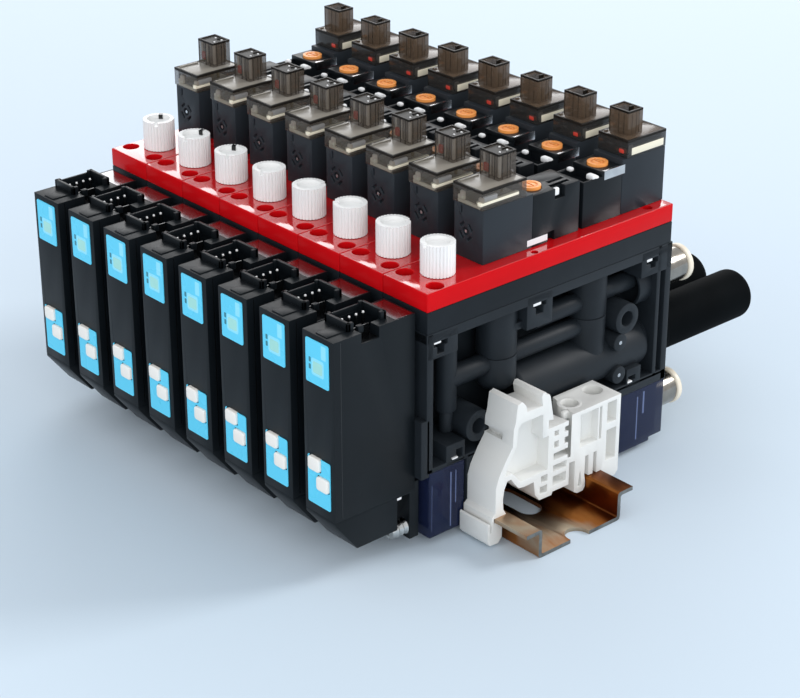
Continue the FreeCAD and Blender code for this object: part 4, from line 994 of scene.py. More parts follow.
def strip(name, front, rear, base, near_bar, lamp_at):
    """Base bar, the long bar that shows at the near side, two round feet with pads, and a lamp."""
    skin = VALVE[1] + 0.02
    parts = [block(name, STRIP, (front, rear), (base, base + 0.8)),
             block("near_bar", (skin - 1.2, skin), *near_bar),
             block("far_bar", (STRIP[0], STRIP[0] + 1.3), (front + 0.2, rear - 0.3),
                   (base + 0.7, base + 1.6))]
    for part in parts:
        soften(part, 0.18)
        painted(part, cream)
    for at_x in (skin - 1.0, skin - 7.0):
        head = soften(rod("foot", "z", (base + 1.3, base + 2.9), (at_x, front + 0.55), 0.8, 20), 0.35, 3)
        pad = block("pad", (at_x - 1.2, at_x + 0.8), (front - 0.2, front + 1.1), (base + 0.9, base + 1.9))
        parts += [painted(head, contact_pale), painted(soften(pad, 0.25), cream)]
    lamp = block("lamp", *lamp_at)
    soften(lamp, 0.4, 3)
    parts.append(painted(lamp, lamp_red))
    return weld(name, *parts)


print("helpers ready: strip")

# %% [markdown]
# The two strips differ in length and in where their lamp sits. The front one has a white stop at its
# near end as well.

# %% Strips of both coils
supply_strip = strip("supply_strip", cover_low[1] + 0.25, 1.9, SUPPLY_COIL_TOP, ((-11.3, 0.6), (79.0, 79.9)),
                     (local(-3.9, -2.3), (-3.3, -2.4), (83.4, 85.6)))
release_strip = strip("release_strip", 37.1, strip_high[1], RELEASE_COIL_TOP, ((37.2, 48.4), (78.9, 80.9)),
                      (local(1.1, 3.1), (35.85, 36.8), (79.2, 80.6)))
stop = soften(block("strip_stop", (VALVE[1] - 1.6, VALVE[1] - 0.1), (-10.0, -6.0), (79.8, 81.0)), 0.2)
supply_strip = weld("supply_strip", supply_strip, painted(stop, paper_white))
strip_row = weld("terminal_strip_row", supply_strip, release_strip)
dress(station_row(strip_row), None, "cream_strip", replaces=["terminal_strips"])

# %% [markdown]
# In the towers stand flat pale contacts and gold pins, and white dots on top are painted highlights on their
# tips. They are barely seen, but an empty tower looks like a toy.

# %% Contacts in the towers
contacts = []
for low_x, high_x in ((0.45, 1.15), (2.4, 3.1), (3.8, 4.3), (5.2, 5.9)):
    bar = block("bar", (TOWER[0] + low_x, TOWER[0] + high_x), (-3.0, -2.4), (83.0, TOWER_TOP - 0.55))
    contacts.append(painted(soften(bar, 0.12), contact_pale))
plate = block("side_plate", (TOWER[1] - 1.1, TOWER[1] - 0.8), (-2.7, 1.1), (83.0, TOWER_TOP - 0.55))
contacts.append(painted(plate, cream))
# The white dots are painted highlights on the contact tips.
for dot_x, dot_y in ((4.7, -1.9), (2.2, 0.4), (4.7, 0.4)):
    painted_tip_highlight = soften(rod("painted_tip_highlight", "z", (TOWER_TOP - 1, TOWER_TOP - 0.05), (TOWER[0] + dot_x, dot_y), 0.24, 16), 0.1)
    contacts.append(painted(painted_tip_highlight, paper_white))
for place, base in ((-0.85, SUPPLY_COIL_TOP + 0.8), (40.9, RELEASE_COIL_TOP + 0.8)):
    for side in (-1, 1):
        contact_x = (TOWER[0] + TOWER[1]) / 2 + side * 1.27
        contact = rod("contact", "z", (base, TOWER_TOP - 1.5), (contact_x, place), 0.4, 12)
        contacts.append(painted(soften(contact, 0.12), gold))
print("contact parts per station:", len(contacts))

# %% [markdown]
# The header of each switch has four pins at a pitch of 2 mm. Their shafts are painted nearly black as the
# shade of their well, and each small white tip is a painted highlight.

# %% Pins of the switch header
PIN_PITCH = 2.0
pins_front = node_span("contact_pins")[0][1] - 0.4
pins_foot = node_span("contact_pins")[0][2]
for count in range(4):
    front = pins_front + count * PIN_PITCH
    # The black shaft is painted shade in the well, the white tip a painted highlight.
    pin = block("pin", local(-1.82, -1.18), (front, front + 0.64), (pins_foot, 60.7))
    tip = block("pin_tip_painted_highlight", local(-1.72, -1.28), (front + 0.1, front + 0.54), (60.6, 61.1))
    contacts += [painted(soften(pin, 0.15), gloss_black), painted(soften(tip, 0.12), paper_white)]
pin_row = weld("contact_row", *contacts)
dress(station_row(pin_row), None, "gold_pins", replaces=["contact_pins"])

# %% [markdown]
# The vacuum switches are slim black housings. The header shroud on top has one low wall, the front
# carries two cyan films, and the near wall has a latch notch. The films are laid on as thin plates
# with the display window let in.

# %% Measure the switches
switch_low, switch_high = node_span("switch_housings")
SWITCH = local(-5.2, 5.2)
FRONT_FACE, SWITCH_REAR = switch_low[1], switch_high[1]
SWITCH_BOTTOM, SWITCH_TOP = switch_low[2], 60.0
SHROUD = local(-5.0, 3.0)
SHROUD_TOP = switch_high[2] - 0.9
SHROUD_Y = (-49.1, -38.1)
LATCH_Y = (-47.2, -42.1)
print("switch from", round(SWITCH_BOTTOM, 2), "to", SWITCH_TOP, "mm")

# %% [markdown]
# The case is a tall block. The well of the header, the latch notch and the pockets of the two set
# buttons are cut into it before its edges are rounded, so that the cuts get rounded rims as well. A
# glossy seam runs round near the front, where the real case has its cap. Each pocket is as deep as its
# button travels.

# %% Switch case with its pockets
case = block("switch_case", SWITCH, (FRONT_FACE, SWITCH_REAR), (SWITCH_BOTTOM, SWITCH_TOP))
carve(case, block("well", (SHROUD[0] + 0.8, SHROUD[1] - 0.8), (SHROUD_Y[0] + 0.8, SHROUD_Y[1] - 0.8),
                  (56.0, SWITCH_TOP + 1)))
carve(case, block("latch", (SWITCH[1] - 3.4, SWITCH[1] + 1), LATCH_Y, (SWITCH_TOP - 2.6, SWITCH_TOP + 1)))
KEYS = {"upper_key": node_span("upper_key_1"), "lower_key": node_span("lower_key_1")}
cap_seam = block("cap_seam", (SWITCH[0] - 0.02, SWITCH[1] + 0.02), (FRONT_FACE + 1.9, FRONT_FACE + 2.1),
                 (SWITCH_BOTTOM + 0.6, SWITCH_TOP - 0.5))
painted(cap_seam, gloss_black)
for key, (low, high) in KEYS.items():
    centre = ((low[0] + high[0]) / 2, (low[2] + high[2]) / 2)
    carve(case, block("bore", (centre[0] - 2.1, centre[0] + 2.1), (FRONT_FACE - 1, FRONT_FACE + 2.6),
                      (centre[1] - 1.8, centre[1] + 1.8)))
    for part in (case, cap_seam):
        carve(part, block("pocket", (low[0] - 0.15, high[0] + 0.15), (high[1] - 1.1, high[1] + 0.9),
                          (low[2] - 0.15, high[2] + 0.15)))
soften(case, 0.45, 3)
# The floor and back of the latch notch are lined with gloss black as painted shade.
notch_floor_painted_shade = block("notch_floor_painted_shade", (SWITCH[1] - 3.4, SWITCH[1] - 0.5), LATCH_Y,
                    (SWITCH_TOP - 2.7, SWITCH_TOP - 2.5))
notch_back_painted_shade = block("notch_back_painted_shade", (SWITCH[1] - 3.5, SWITCH[1] - 3.3), LATCH_Y,
                   (SWITCH_TOP - 2.7, SWITCH_TOP - 0.2))
for part in (notch_floor_painted_shade, notch_back_painted_shade):
    painted(part, gloss_black)
print("case faces:", len(case.data.polygons))

# %% [markdown]
# Above the case stands the shroud of the 4-pole header: low walls, higher posts at the corners, a lug
# and a ridge in front. Each wall is a rounded block on the case, which is quicker than one outline with
# corners of many heights, and the joints between them aren't seen.

# %% Shroud of the header
walls = []
far_x, near_x = (SHROUD[0], SHROUD[0] + 0.9), (SHROUD[1] - 0.9, SHROUD[1])
front_y, rear_y = SHROUD_Y
for label, x, y, top in (("far", (SHROUD[0], SHROUD[0] + 0.6), SHROUD_Y, SHROUD_TOP - 0.5),
                         ("far_front", far_x, (front_y, front_y + 1.5), SHROUD_TOP),
                         ("far_rear", far_x, (rear_y - 1.5, rear_y), SHROUD_TOP),
                         ("near_front", near_x, (front_y, front_y + 1.7), SHROUD_TOP),
                         ("near_rear", near_x, (rear_y - 1.7, rear_y), SHROUD_TOP),
                         ("lug", (SHROUD[1] - 0.7, SHROUD[1] + 0.5), (-46.6, -45.0), SWITCH_TOP + 0.7),
                         ("ridge", local(-1.4, 2.4), (FRONT_FACE + 0.5, SHROUD_Y[0] + 0.2), SWITCH_TOP + 0.3),
                         ("front", SHROUD, (SHROUD_Y[0], SHROUD_Y[0] + 0.9), SHROUD_TOP),
                         ("rear", SHROUD, (SHROUD_Y[1] - 0.9, SHROUD_Y[1]), SHROUD_TOP)):
    walls.append(soften(block(label, x, y, (SWITCH_TOP - 1, top)), 0.18))
print("walls and posts:", len(walls))

# %% [markdown]
# Behind the shroud the top of the case is polished and mirrors the red plate. It is a thin panel of its
# own, sunk into the case, because one finish can't be matt and a mirror. Then the parts are joined and
# repeated.

# %% Gloss panel, and the row of switches
top_panel = block("top_panel", (SWITCH[0] + 0.6, SWITCH[1] - 0.4), (SHROUD_Y[1] + 0.9, SWITCH_REAR - 0.4),
                  (SWITCH_TOP - 0.3, SWITCH_TOP + 0.02))
soften(top_panel, 0.02, 1)
painted(top_panel, dark_mirror)
for part in [case] + walls:
    painted(part, switch_black)
switch_row = weld("switch_case_row", case, cap_seam, notch_floor_painted_shade, notch_back_painted_shade, top_panel, *walls)
dress(station_row(switch_row), None, "black_gloss", replaces=["switch_housings"])

# %% [markdown]
# The films are printed foil, glued on the front, with rounded corners. A thin plate faces the front, and
# its four short edges are picked by their direction and bevelled with five segments, which gives round
# corners without an outline to draw.

# %% A thin plate with round corners


def rounded_plate(name, x, y, z, radius):
    """A thin plate facing the front with rounded corners."""
    plate = block(name, x, y, z)
    activate(plate)
    bpy.ops.object.mode_set(mode="EDIT")
    bpy.ops.mesh.select_mode(type="EDGE")
    bpy.ops.mesh.select_all(action="DESELECT")
    leave_edit()
    for edge in plate.data.edges:
        a, b = (plate.data.vertices[index].co for index in edge.vertices)
        edge.select = abs(a.x - b.x) < 1e-6 and abs(a.z - b.z) < 1e-6
    bpy.ops.object.mode_set(mode="EDIT")
    bpy.ops.mesh.bevel(offset=radius * MM, segments=5)
    leave_edit()
    return plate


print("helpers ready: rounded_plate")

# %% [markdown]
# There are two films: the display field on top and the key field below. The key field has a window for
# each set button, a little larger than the button.

# %% Display film and key film
film_low, film_high = node_span("switch_films")
FILM = local(-4.0, 3.7)
film_y = (film_low[1], film_high[1])
display_film = rounded_plate("display_film", FILM, film_y, (48.1, 58.7), 0.5)
key_film = rounded_plate("key_film", FILM, film_y, (18.0, 30.0), 0.5)
for key, (low, high) in KEYS.items():
    centre = ((low[0] + high[0]) / 2, (low[2] + high[2]) / 2)
    carve(key_film, rounded_plate("window", (centre[0] - 2.1, centre[0] + 2.1),
                                  (film_low[1] - 1, film_high[1] + 1),
                                  (centre[1] - 1.8, centre[1] + 1.8), 0.5))
for film in (display_film, key_film):
    soften(film, 0.05, 1)
    painted(film, cyan_film)
print("film height:", round(film_high[2] - film_low[2], 2), "mm")

# %% [markdown]
# The display field shows a greenish window in a paler frame, two small dark marks and a pale field. They
# are thin plates that stand a hundredth proud of the film, so that no two faces lie in one plane.

# %% Window and marks
film_parts = [display_film, key_film]
proud = (film_low[1] - 0.02, film_low[1] + 0.1)
window = rounded_plate("display_window", local(-1.5, 1.7), proud, (50.9, 53.7), 0.5)
film_parts.append(painted(window, lens_green))
window_frame = rounded_plate("window_frame", local(-2.0, 2.2), (film_low[1] - 0.01, film_low[1] + 0.1),
                             (50.3, 54.4), 0.6)
film_parts.append(painted(window_frame, cyan_pale))
for level in (52.0, 53.7):
    mark = rounded_plate("mark", local(-2.9, -2.2), proud, (level - 0.6, level + 0.6), 0.2)
    film_parts.append(painted(mark, mark_dark))
strip_mark = rounded_plate("strip_mark", local(1.3, 2.9), proud, (54.9, 58.2), 0.2)
film_parts.append(painted(strip_mark, cyan_pale))
film_row = weld("switch_film_row", *film_parts)
dress(station_row(film_row), None, "cyan_film", replaces=["switch_films"])

# %% [markdown]
# The white set buttons are pressed with a fingertip and spring back. The cap has round corners and a
# soft rim, and a wider foot inside the case keeps it from falling out.

# %% Set buttons


def set_button(name, low, high):
    """A rounded cap on a wider foot inside the case."""
    middle = ((low[0] + high[0]) / 2, (low[2] + high[2]) / 2)
    cap = rounded_plate(name, (middle[0] - 2.0, middle[0] + 2.0), (low[1], high[1] - 0.4),
                        (middle[1] - 1.7, middle[1] + 1.7), 0.8)
    soften(cap, 0.3, 3)
    foot = block("foot", (low[0], high[0]), (high[1] - 0.9, high[1]), (low[2], high[2]))
    return weld(name, cap, soften(foot, 0.1, 1))


print("helpers ready: set_button")

# %% [markdown]
# Sixteen buttons ride on sixteen bodies. Their places come from the CAD nodes, so they sit in their
# pockets at every station.

# %% Two set buttons in every switch
for key in KEYS:
    for number in range(1, STATIONS + 1):
        low, high = node_span(f"{key}_{number}")
        piece = set_button(f"{key}_cap_{number}", low, high)
        dress(piece, key_white, "key_white", f"{key}_{number}", [f"{key}_{number}"])

# %% [markdown]
# Some pieces are an outline with a thickness: the bracket, the rail, the clamp. The outline could be
# walked by extruding one vertex from corner to corner. Here a filled circle with as many corners is
# added, each corner is moved to its place, and the face is extruded, because the circle keeps its
# corners in order and is closed from the start.

# %% A plate from its outline


def plate_from_outline(name, points, x):
    """A plate across X from (y, z) corners: a filled circle whose corners move to their places."""
    deselect()
    bpy.ops.mesh.primitive_circle_add(vertices=len(points), radius=MM, fill_type="NGON",
                                      location=(x[0] * MM, 0, 0), rotation=(0, math.pi / 2, 0))
    piece = settle(name)
    for index, (y, z) in enumerate(points):
        bpy.ops.object.mode_set(mode="EDIT")
        bpy.ops.mesh.select_mode(type="VERT")
        bpy.ops.mesh.select_all(action="DESELECT")
        leave_edit()
        corner = piece.data.vertices[index]
        corner.select = True
        step = (x[0] * MM - corner.co.x, y * MM - corner.co.y, z * MM - corner.co.z)
        bpy.ops.object.mode_set(mode="EDIT")
        bpy.ops.transform.translate(value=step)
    bpy.ops.mesh.select_all(action="SELECT")
    bpy.ops.mesh.extrude_region_move(TRANSFORM_OT_translate={"value": ((x[1] - x[0]) * MM, 0, 0)})
    bpy.ops.mesh.select_all(action="SELECT")
    bpy.ops.mesh.normals_make_consistent(inside=False)
    leave_edit()
    return piece


print("helpers ready: plate_from_outline")

# %% [markdown]
# The bracket holds the switch to its body: a slanted front, a foot, and a column with a bore for the screw.
# Its side view is an outline with eleven corners. A small white block at the top of its slot is a painted
# highlight.

# %% Bracket under the switch
BRACKET_BOTTOM = 6.9
COLUMN_FOOT = 3.1
SCREW_X, SCREW_Z = FIRST_X + 2.8, 5.6
front, rear = FRONT_FACE, SWITCH_REAR
bracket_top = node_span("switch_brackets")[1][2]
bracket = plate_from_outline("bracket", [
    (front, SWITCH_BOTTOM), (front, SWITCH_BOTTOM - 0.8), (front + 6.2, BRACKET_BOTTOM),
    (-36.9, BRACKET_BOTTOM), (-36.9, SWITCH_BOTTOM - 0.5), (-33.2, SWITCH_BOTTOM - 0.5),
    (-33.2, COLUMN_FOOT), (rear + 1.2, COLUMN_FOOT), (rear + 1.2, bracket_top), (rear, bracket_top),
    (rear, SWITCH_BOTTOM)], SWITCH)
carve(bracket, rod("screw_bore", "y", (-38.5, -29), (SCREW_X, SCREW_Z), 2.1, 32))
soften(bracket, 0.3)
painted(bracket, switch_black)
# This small white block at the top of the slot is a painted highlight.
painted_glint = soften(block("bracket_painted_glint", (SWITCH[1] - 1.4, SWITCH[1] - 0.3), (-36.8, -35.3), (14.3, 15.1)), 0.2)
bracket = weld("switch_bracket_row", bracket, painted(painted_glint, paper_white))
dress(station_row(bracket), None, "black_gloss", replaces=["switch_brackets"])

# %% [markdown]
# The screws are headless studs with a slot. A thread this small is a row of ridges to the eye, so it is
# a stack of short cones that widen and narrow in turn. A true helix would need many more faces for the
# same picture.

# %% Threaded studs
THREAD_PITCH = 1.15


def threaded(name, axis, along, at, radius, head_at_low):
    """A slotted stud: cones stacked into turned ridges, and a plain end with a screwdriver slot."""
    low, high = along
    end = 0.9
    head = (low, low + end) if head_at_low else (high - end, high)
    thread = (low + end, high) if head_at_low else (low, high - end)
    turns = int((thread[1] - thread[0]) / THREAD_PITCH)
    step = (thread[1] - thread[0]) / turns
    tip = rod(f"{name}_tip", axis, head, at, radius - 0.25, 28)
    mouth = (head[0] - 1, head[0] + 0.8) if head_at_low else (head[1] - 0.8, head[1] + 1)
    spans = {"x": (at[0] - 0.35, at[0] + 0.35), "other": (at[1] - 3, at[1] + 3)}
    groove = (spans["x"], mouth, spans["other"]) if axis == "y" else (spans["x"], spans["other"], mouth)
    carve(tip, block("groove", *groove))
    parts = [tip, rod(f"{name}_core", axis, (thread[0] - 0.05, thread[1] + 0.05), at, radius - 0.6, 20)]
    for count in range(turns):
        start = thread[0] + count * step
        crest = start + step / 2
        parts.append(rod(f"{name}_a{count}", axis, (start, crest), at, radius - 0.55, 28, radius))
        parts.append(rod(f"{name}_b{count}", axis, (crest, start + step), at, radius, 28, radius - 0.55))
    return weld(name, *parts)


print("helpers ready: threaded")

# %% [markdown]
# One screw sits in each bracket with its slot to the front, and one stands in each end clamp. All are
# one node in the frame, so the row and the two single screws are joined.

# %% Screws of brackets and clamps
bracket_screw = threaded("bracket_screw", "y", (-37.6, -31.0), (SCREW_X, SCREW_Z), 2.05, True)
station_row(bracket_screw)
CLAMP_SCREW_Y = node_span("set_screws")[1][1] - 2.05
near_clamp_screw = threaded("near_screw", "z", (14.1, 22.6), (64.75, CLAMP_SCREW_Y), 2.03, False)
far_clamp_screw = threaded("far_screw", "z", (14.1, 22.6), (-64.75, CLAMP_SCREW_Y), 2.03, False)
screws = weld("set_screw_group", bracket_screw, near_clamp_screw, far_clamp_screw)
activate(screws)
bpy.ops.object.shade_smooth_by_angle(angle=math.radians(30))
dress(screws, thread_steel, "steel_screw", replaces=["set_screws"])

# %% [markdown]
# The ejector body is the busiest moulding: a web on one side and, on the open side, pipes, bosses and
# eyelets inside a rim. Every feature is rounded on its own and then joined, which keeps the rounding
# clean where the shapes run into each other.

# %% Walls of the ejector body
body_high = node_span("ejector_bodies")[1]
BODY_FRONT, BODY_REAR, BODY_TOP = -30.1, body_high[1], body_high[2]
BODY_LOW, BODY_REAR_LOW = 19.5, 17.7
near = across[1]
inner = (across[0] + 2.5, near)
PIPE_X = FIRST_X + 1.4
parts = [
    soften(block("web", (across[0], across[0] + 3), (BODY_FRONT, BODY_REAR), (BODY_LOW, BODY_TOP)), 0.25),
    soften(block("ceiling", across, (BODY_FRONT, BODY_REAR), (BODY_TOP - 2.5, BODY_TOP)), 0.2),
    soften(block("floor", across, (BODY_FRONT, BODY_REAR), (BODY_LOW, BODY_LOW + 1.2)), 0.25),
    soften(block("floor_rear", across, (BODY_REAR - 27, BODY_REAR), (BODY_REAR_LOW, BODY_LOW + 1)), 0.2),
    soften(block("rim_front", across, (BODY_FRONT, BODY_FRONT + 2), (BODY_LOW, BODY_TOP)), 0.25),
    soften(block("rim_rear", across, (BODY_REAR - 2.0, BODY_REAR), (BODY_REAR_LOW, BODY_TOP)), 0.25),
    soften(block("rib_rear", across, (BODY_REAR - 5.0, BODY_REAR - 3.7), (BODY_LOW, BODY_TOP)), 0.2),
    soften(block("lug", across, (SWITCH_REAR, BODY_FRONT + 1), (BODY_LOW - 0.8, BODY_LOW + 14)), 0.25),
]
print("walls of a body:", len(parts))

# %% [markdown]
# From the ceiling hang three aprons, each with a small stepped window in which a clip holds the adapter.
# They are flush with the rim, so their faces make the upper band that the eye sees first on the near
# side.

# %% Aprons with stepped windows


def apron(name, y, low, window_y, window_low, notch_y, notch_low, depth=4.0):
    """Wall that hangs from the ceiling, flush with the rim, with a small stepped window."""
    wall = block(name, inner, y, (low, BODY_TOP - 0.3))
    side = (near - depth, near + 1)
    carve(wall, block("hole", side, window_y, (window_low, BODY_TOP - 2.1)))
    carve(wall, block("hole_low", side, notch_y, (notch_low, window_low + 0.5)))
    return soften(wall, 0.18)


APRONS = (("front", (BODY_FRONT + 0.2, -20.8), BODY_TOP - 6.5, (-28.0, -23.9), 51.0, (-27.0, -24.9), 49.2),
          ("middle", (0.8, 9.1), BODY_TOP - 8.6, (2.8, 7.0), 51.1, (3.7, 6.1), 49.3),
          ("rear", (39.2, BODY_REAR - 0.2), BODY_TOP - 6.9, (41.0, 45.2), 50.9, (42.4, 44.2), 49.6))
for label, *measures in APRONS:
    parts.append(apron(f"apron_{label}", *measures))
parts.append(soften(block("gap_sill", (near - 6, near - 1.5), (-3.1, 1.4), (46.3, 48.2)), 0.2))
print("aprons:", len(APRONS))

# %% [markdown]
# Two low blocks on the floor of the body take the latches of the filter cases. Every window shows a small
# bright spot, so a rounded white block sits behind each as a painted highlight.

# %% Latch blocks and the painted highlights in the windows


def latch_block(name, y, z, windows):
    """Low block on the floor of the body with a stepped opening for a latch."""
    latch = block(name, inner, y, z)
    for window_y, window_z in windows:
        carve(latch, block("latch_hole", (near - 4, near + 1), window_y, window_z))
    return soften(latch, 0.15)


parts.append(latch_block("latch", (-24.0, -18.2), (BODY_LOW + 0.1, 24.8),
                         (((-22.4, -18.9), (20.3, 21.4)), ((-20.9, -18.9), (21.2, 23.0)))))
parts.append(latch_block("rear_latch", (35.7, 40.7), (BODY_LOW + 0.1, 24.5),
                         (((36.2, 38.3), (20.3, 21.4)), ((36.4, 38.9), (21.2, 22.5)))))
painted_glints_and_pins = []
# The white blocks below are painted highlights seen through the windows.
for y, z in (((-27.9, -25.8), (51.7, 52.5)), ((2.9, 5.4), (51.5, 52.5)), ((41.1, 43.0), (51.5, 52.5)),
             ((-22.0, -20.2), (20.4, 21.0)), ((36.3, 38.0), (20.4, 21.0))):
    painted_glint = soften(block("painted_glint", (near - 1.6, near - 0.1), y, z), 0.15)
    painted_glints_and_pins.append(painted(painted_glint, paper_white))

print("glints:", len(painted_glints_and_pins))

# %% [markdown]
# The air runs through moulded pipes that stand in the open side of the body. Each has a wide upper
# length, a thin groove where two tool halves meet, and a lower length whose end is rounded by a bevel of
# five segments.

# %% Standing pipes


def pipe(name, y, radius, ring, low, lower_radius, bottom=0.4, x=PIPE_X):
    """A standing pipe: a wide upper length, a thin groove, and a lower length with a rounded end."""
    upper = soften(rod(name, "z", (ring + 0.3, CEILING), (x, y), radius, 40), 0.12)
    groove = rod(f"{name}_groove", "z", (ring - 0.1, ring + 0.4), (x, y), min(radius, lower_radius) - 0.3, 40)
    lower = rod(f"{name}_low", "z", (low, ring), (x, y), lower_radius, 40)
    pick(lower, lambda c, n: n.z < -0.9)
    bpy.ops.mesh.bevel(offset=bottom * MM, segments=5)
    leave_edit()
    return [upper, groove, soften(lower, 0.12)]


CEILING = BODY_TOP - 1
parts += pipe("stem_pipe", -18.8, 2.5, 30.2, 24.8, 1.6)
parts += pipe("front_pipe", -3.1, 4.85, 40.0, 31.0, 4.85, 3.2)
parts += pipe("rear_pipe", 27.0, 4.65, 40.7, 29.5, 4.65, 1.5)
print("parts of a body so far:", len(parts))

# %% [markdown]
# Between the standing pipes lie thinner links. Below them is the barrel with the ejector nozzle, and in
# the upper rear corner the chamber of the tube fitting. Both end in a neck inside the rear wall.

# %% Links, barrel and chamber
BARREL_X, BARREL_LEVEL, NECK_LEVEL, CHAMBER_LEVEL = FIRST_X + 0.3, 28.0, 28.6, 43.7
for name, y, level, radius, x in (("link_front", (-18.8, -3.1), 38.2, 2.6, PIPE_X),
                                  ("link_middle", (-3.1, 27.0), 38.2, 2.4, PIPE_X),
                                  ("link_upper", (8.4, 27.0), 44.6, 2.4, PIPE_X),
                                  ("link_rear", (27.0, 41.7), 45.1, 2.4, PIPE_X)):
    parts.append(soften(rod(name, "y", y, (x, level), radius, 32), 0.3))
parts.append(soften(rod("barrel", "y", (0.9, BODY_REAR - 5.4), (BARREL_X, BARREL_LEVEL), 6.5, 56), 1.6, 5))
parts.append(rod("barrel_neck", "y", (BODY_REAR - 7, BODY_REAR - 1), (BARREL_X, NECK_LEVEL), 5.2, 40))
chamber = rod("chamber", "y", (40.6, BODY_REAR - 4.5), (FIRST_X + 0.5, CHAMBER_LEVEL), 5.6, 48)
carve(chamber, rod("chamber_bore", "y", (40.0, 42.5), (FIRST_X + 0.5, CHAMBER_LEVEL), 4.8, 40))
parts.append(soften(chamber, 0.2))
parts.append(rod("chamber_neck", "y", (BODY_REAR - 5, BODY_REAR - 1), (FIRST_X, CHAMBER_LEVEL), 5.2, 40))
print("parts of a body so far:", len(parts))

# %% [markdown]
# Two eyelets let the long tie rods through the row of stations, two small bosses carry bright pins, and
# four feet stand on the rail. Last, every part is painted, and the row of eight bodies is made.

# %% Eyelets, bosses and feet
EYELET_RADIUS, EYELET_HOLE = 3.95, 1.9
for name, y, z in (("eyelet_rear", 35.0, 38.6), ("eyelet_front", -13.9, 26.7)):
    boss = rod(name, "x", (across[0] + 1, near), (y, z), EYELET_RADIUS, 40)
    carve(boss, rod("hole", "x", (near - 7, near + 1), (y, z), EYELET_HOLE, 28))
    parts.append(soften(boss, 0.3))
for name, y, z in (("boss_upper", 33.0, 32.8), ("boss_lower", 33.0, 24.1)):
    parts.append(soften(rod(name, "x", (across[0] + 1, near), (y, z), 2.3, 32), 0.3))
    pin = soften(rod(f"{name}_pin", "x", (near - 1, near + 0.02), (y, z), 0.55, 16), 0.1)
    painted_glints_and_pins.append(painted(pin, steel))
parts.append(soften(block("foot_front", across, (-17.5, -10), (7.5, BODY_LOW + 1)), 0.3))
parts.append(soften(block("foot_rear", across, (10, 19.5), (7.5, BODY_LOW + 1)), 0.3))
parts.append(soften(block("foot_bridge", across, (-13.5, 13.5), (14.5, BODY_LOW + 1)), 0.3))
parts.append(soften(block("foot_lip", across, (-12.2, -10.5), (5.0, 8.5)), 0.25))
for part in parts:
    painted(part, pipe_black)
body_row = weld("ejector_body_row", *(parts + painted_glints_and_pins))
dress(station_row(body_row), None, "black_body", replaces=["ejector_bodies"])

# %% [markdown]
# The nozzle inside the barrel isn't seen from outside. Its CAD solid is a turned part already, so it
# stays and only gets a finish.

# %% Ejector nozzles stay as they are, in brass
nozzles = frame["nodes"]["ejector_nozzles"]
nozzles.data.materials.clear()
nozzles.data.materials.append(brass)
print("nozzle triangles:", len(nozzles.data.polygons))

# %% [markdown]
# The filter cases are dark blue, see-through cups. They need a wall, a felt element inside and a few pale
# painted highlight lines, because light only shows in a cup through what it passes.

# %% Filter cases
case_low, case_high = node_span("filter_cases")
CASE = local(-7.2, 7.2)
REAR_CASE_FRONT = 20.5


def cup(name, y, z, wall=1.2):
    """A cuboid hollowed from above."""
    outer = block(name, CASE, y, z)
    carve(outer, block("hollow", (CASE[0] + wall, CASE[1] - wall), (y[0] + wall, y[1] - wall),
                       (z[0] + wall, z[1] + 1)))
    return outer


print("filter cases between", round(case_low[2], 2), "and", round(BODY_LOW, 2), "mm")

# %% [markdown]
# The front cup is a plain box that hangs under the body. The rear one is longer, has a step at its low
# rear edge and a port for the lower tube fitting.

# %% Carve the two cups
front_cup = soften(cup("front_cup", (case_low[1], -17.9), (2.1, BODY_LOW)), 0.45, 3)
rear_cup = cup("rear_cup", (REAR_CASE_FRONT, case_high[1]), (case_low[2], BODY_REAR_LOW))
carve(rear_cup, block("step", (CASE[0] - 1, CASE[1] + 1), (case_high[1] - 4.5, case_high[1] + 1),
                      (case_low[2] - 1, case_low[2] + 1)))
carve(rear_cup, rod("port", "y", (case_high[1] - 2, case_high[1] + 1), (FIRST_X, 9.9), 4.4, 40))
soften(rear_cup, 0.4, 3)
cups = [painted(front_cup, blue_clear), painted(rear_cup, blue_clear)]
print("cups per station:", len(cups))

# %% [markdown]
# Inside a clear cup the light breaks into bright lines, and the eye takes those pale lines for transparency.
# They are painted highlights: thin paler plates in the near wall.

# %% Painted highlight lines in the cups
HIGHLIGHT_X = (CASE[1] - 0.3, CASE[1] + 0.02)
for name, y, z in (("wide_highlight", (29.6, 30.5), (4.4, 16.6)), ("fine_highlight", (27.9, 28.3), (3.4, 16.2)),
                   ("mark", (22.1, 22.35), (9.6, 14.6)), ("far_mark", (40.2, 40.7), (3.6, 15.6)),
                   ("far_band", (42.3, 43.0), (10.2, 16.4)), ("front_line", (-20.9, -20.5), (9.0, 17.6)),
                   ("front_band", (-22.5, -22.0), (3.2, 17.6)), ("front_fine", (-28.2, -28.0), (4.0, 16.0))):
    # Each pale plate is a painted highlight line.
    painted_highlight_line = soften(block(f"{name}_painted_highlight", HIGHLIGHT_X, y, z), 0.08, 1)
    cups.append(painted(painted_highlight_line, blue_painted_highlight))
cup_row = weld("filter_case_row", *cups)
dress(station_row(cup_row), None, "blue_case", replaces=["filter_cases"])

# %% [markdown]
# A white felt element sits in each case: upright in front, lying in the rear. Through the dark plastic
# only a hint of it shows, yet without it the case looks solid.

# %% Filter elements
element_high = node_span("filter_elements")[1]
front_element = rod("front_element", "z", (3.3, element_high[2]), (FIRST_X, -23.35), 3.8, 36)
soften(front_element, 0.4)
rear_element = rod("rear_element", "y", (REAR_CASE_FRONT + 1.2, element_high[1]), (FIRST_X, 9.9), 5.2, 40)
soften(rear_element, 0.4)
element_row = weld("filter_element_row", front_element, rear_element)
dress(station_row(element_row), felt_white, "filter_felt", replaces=["filter_elements"])

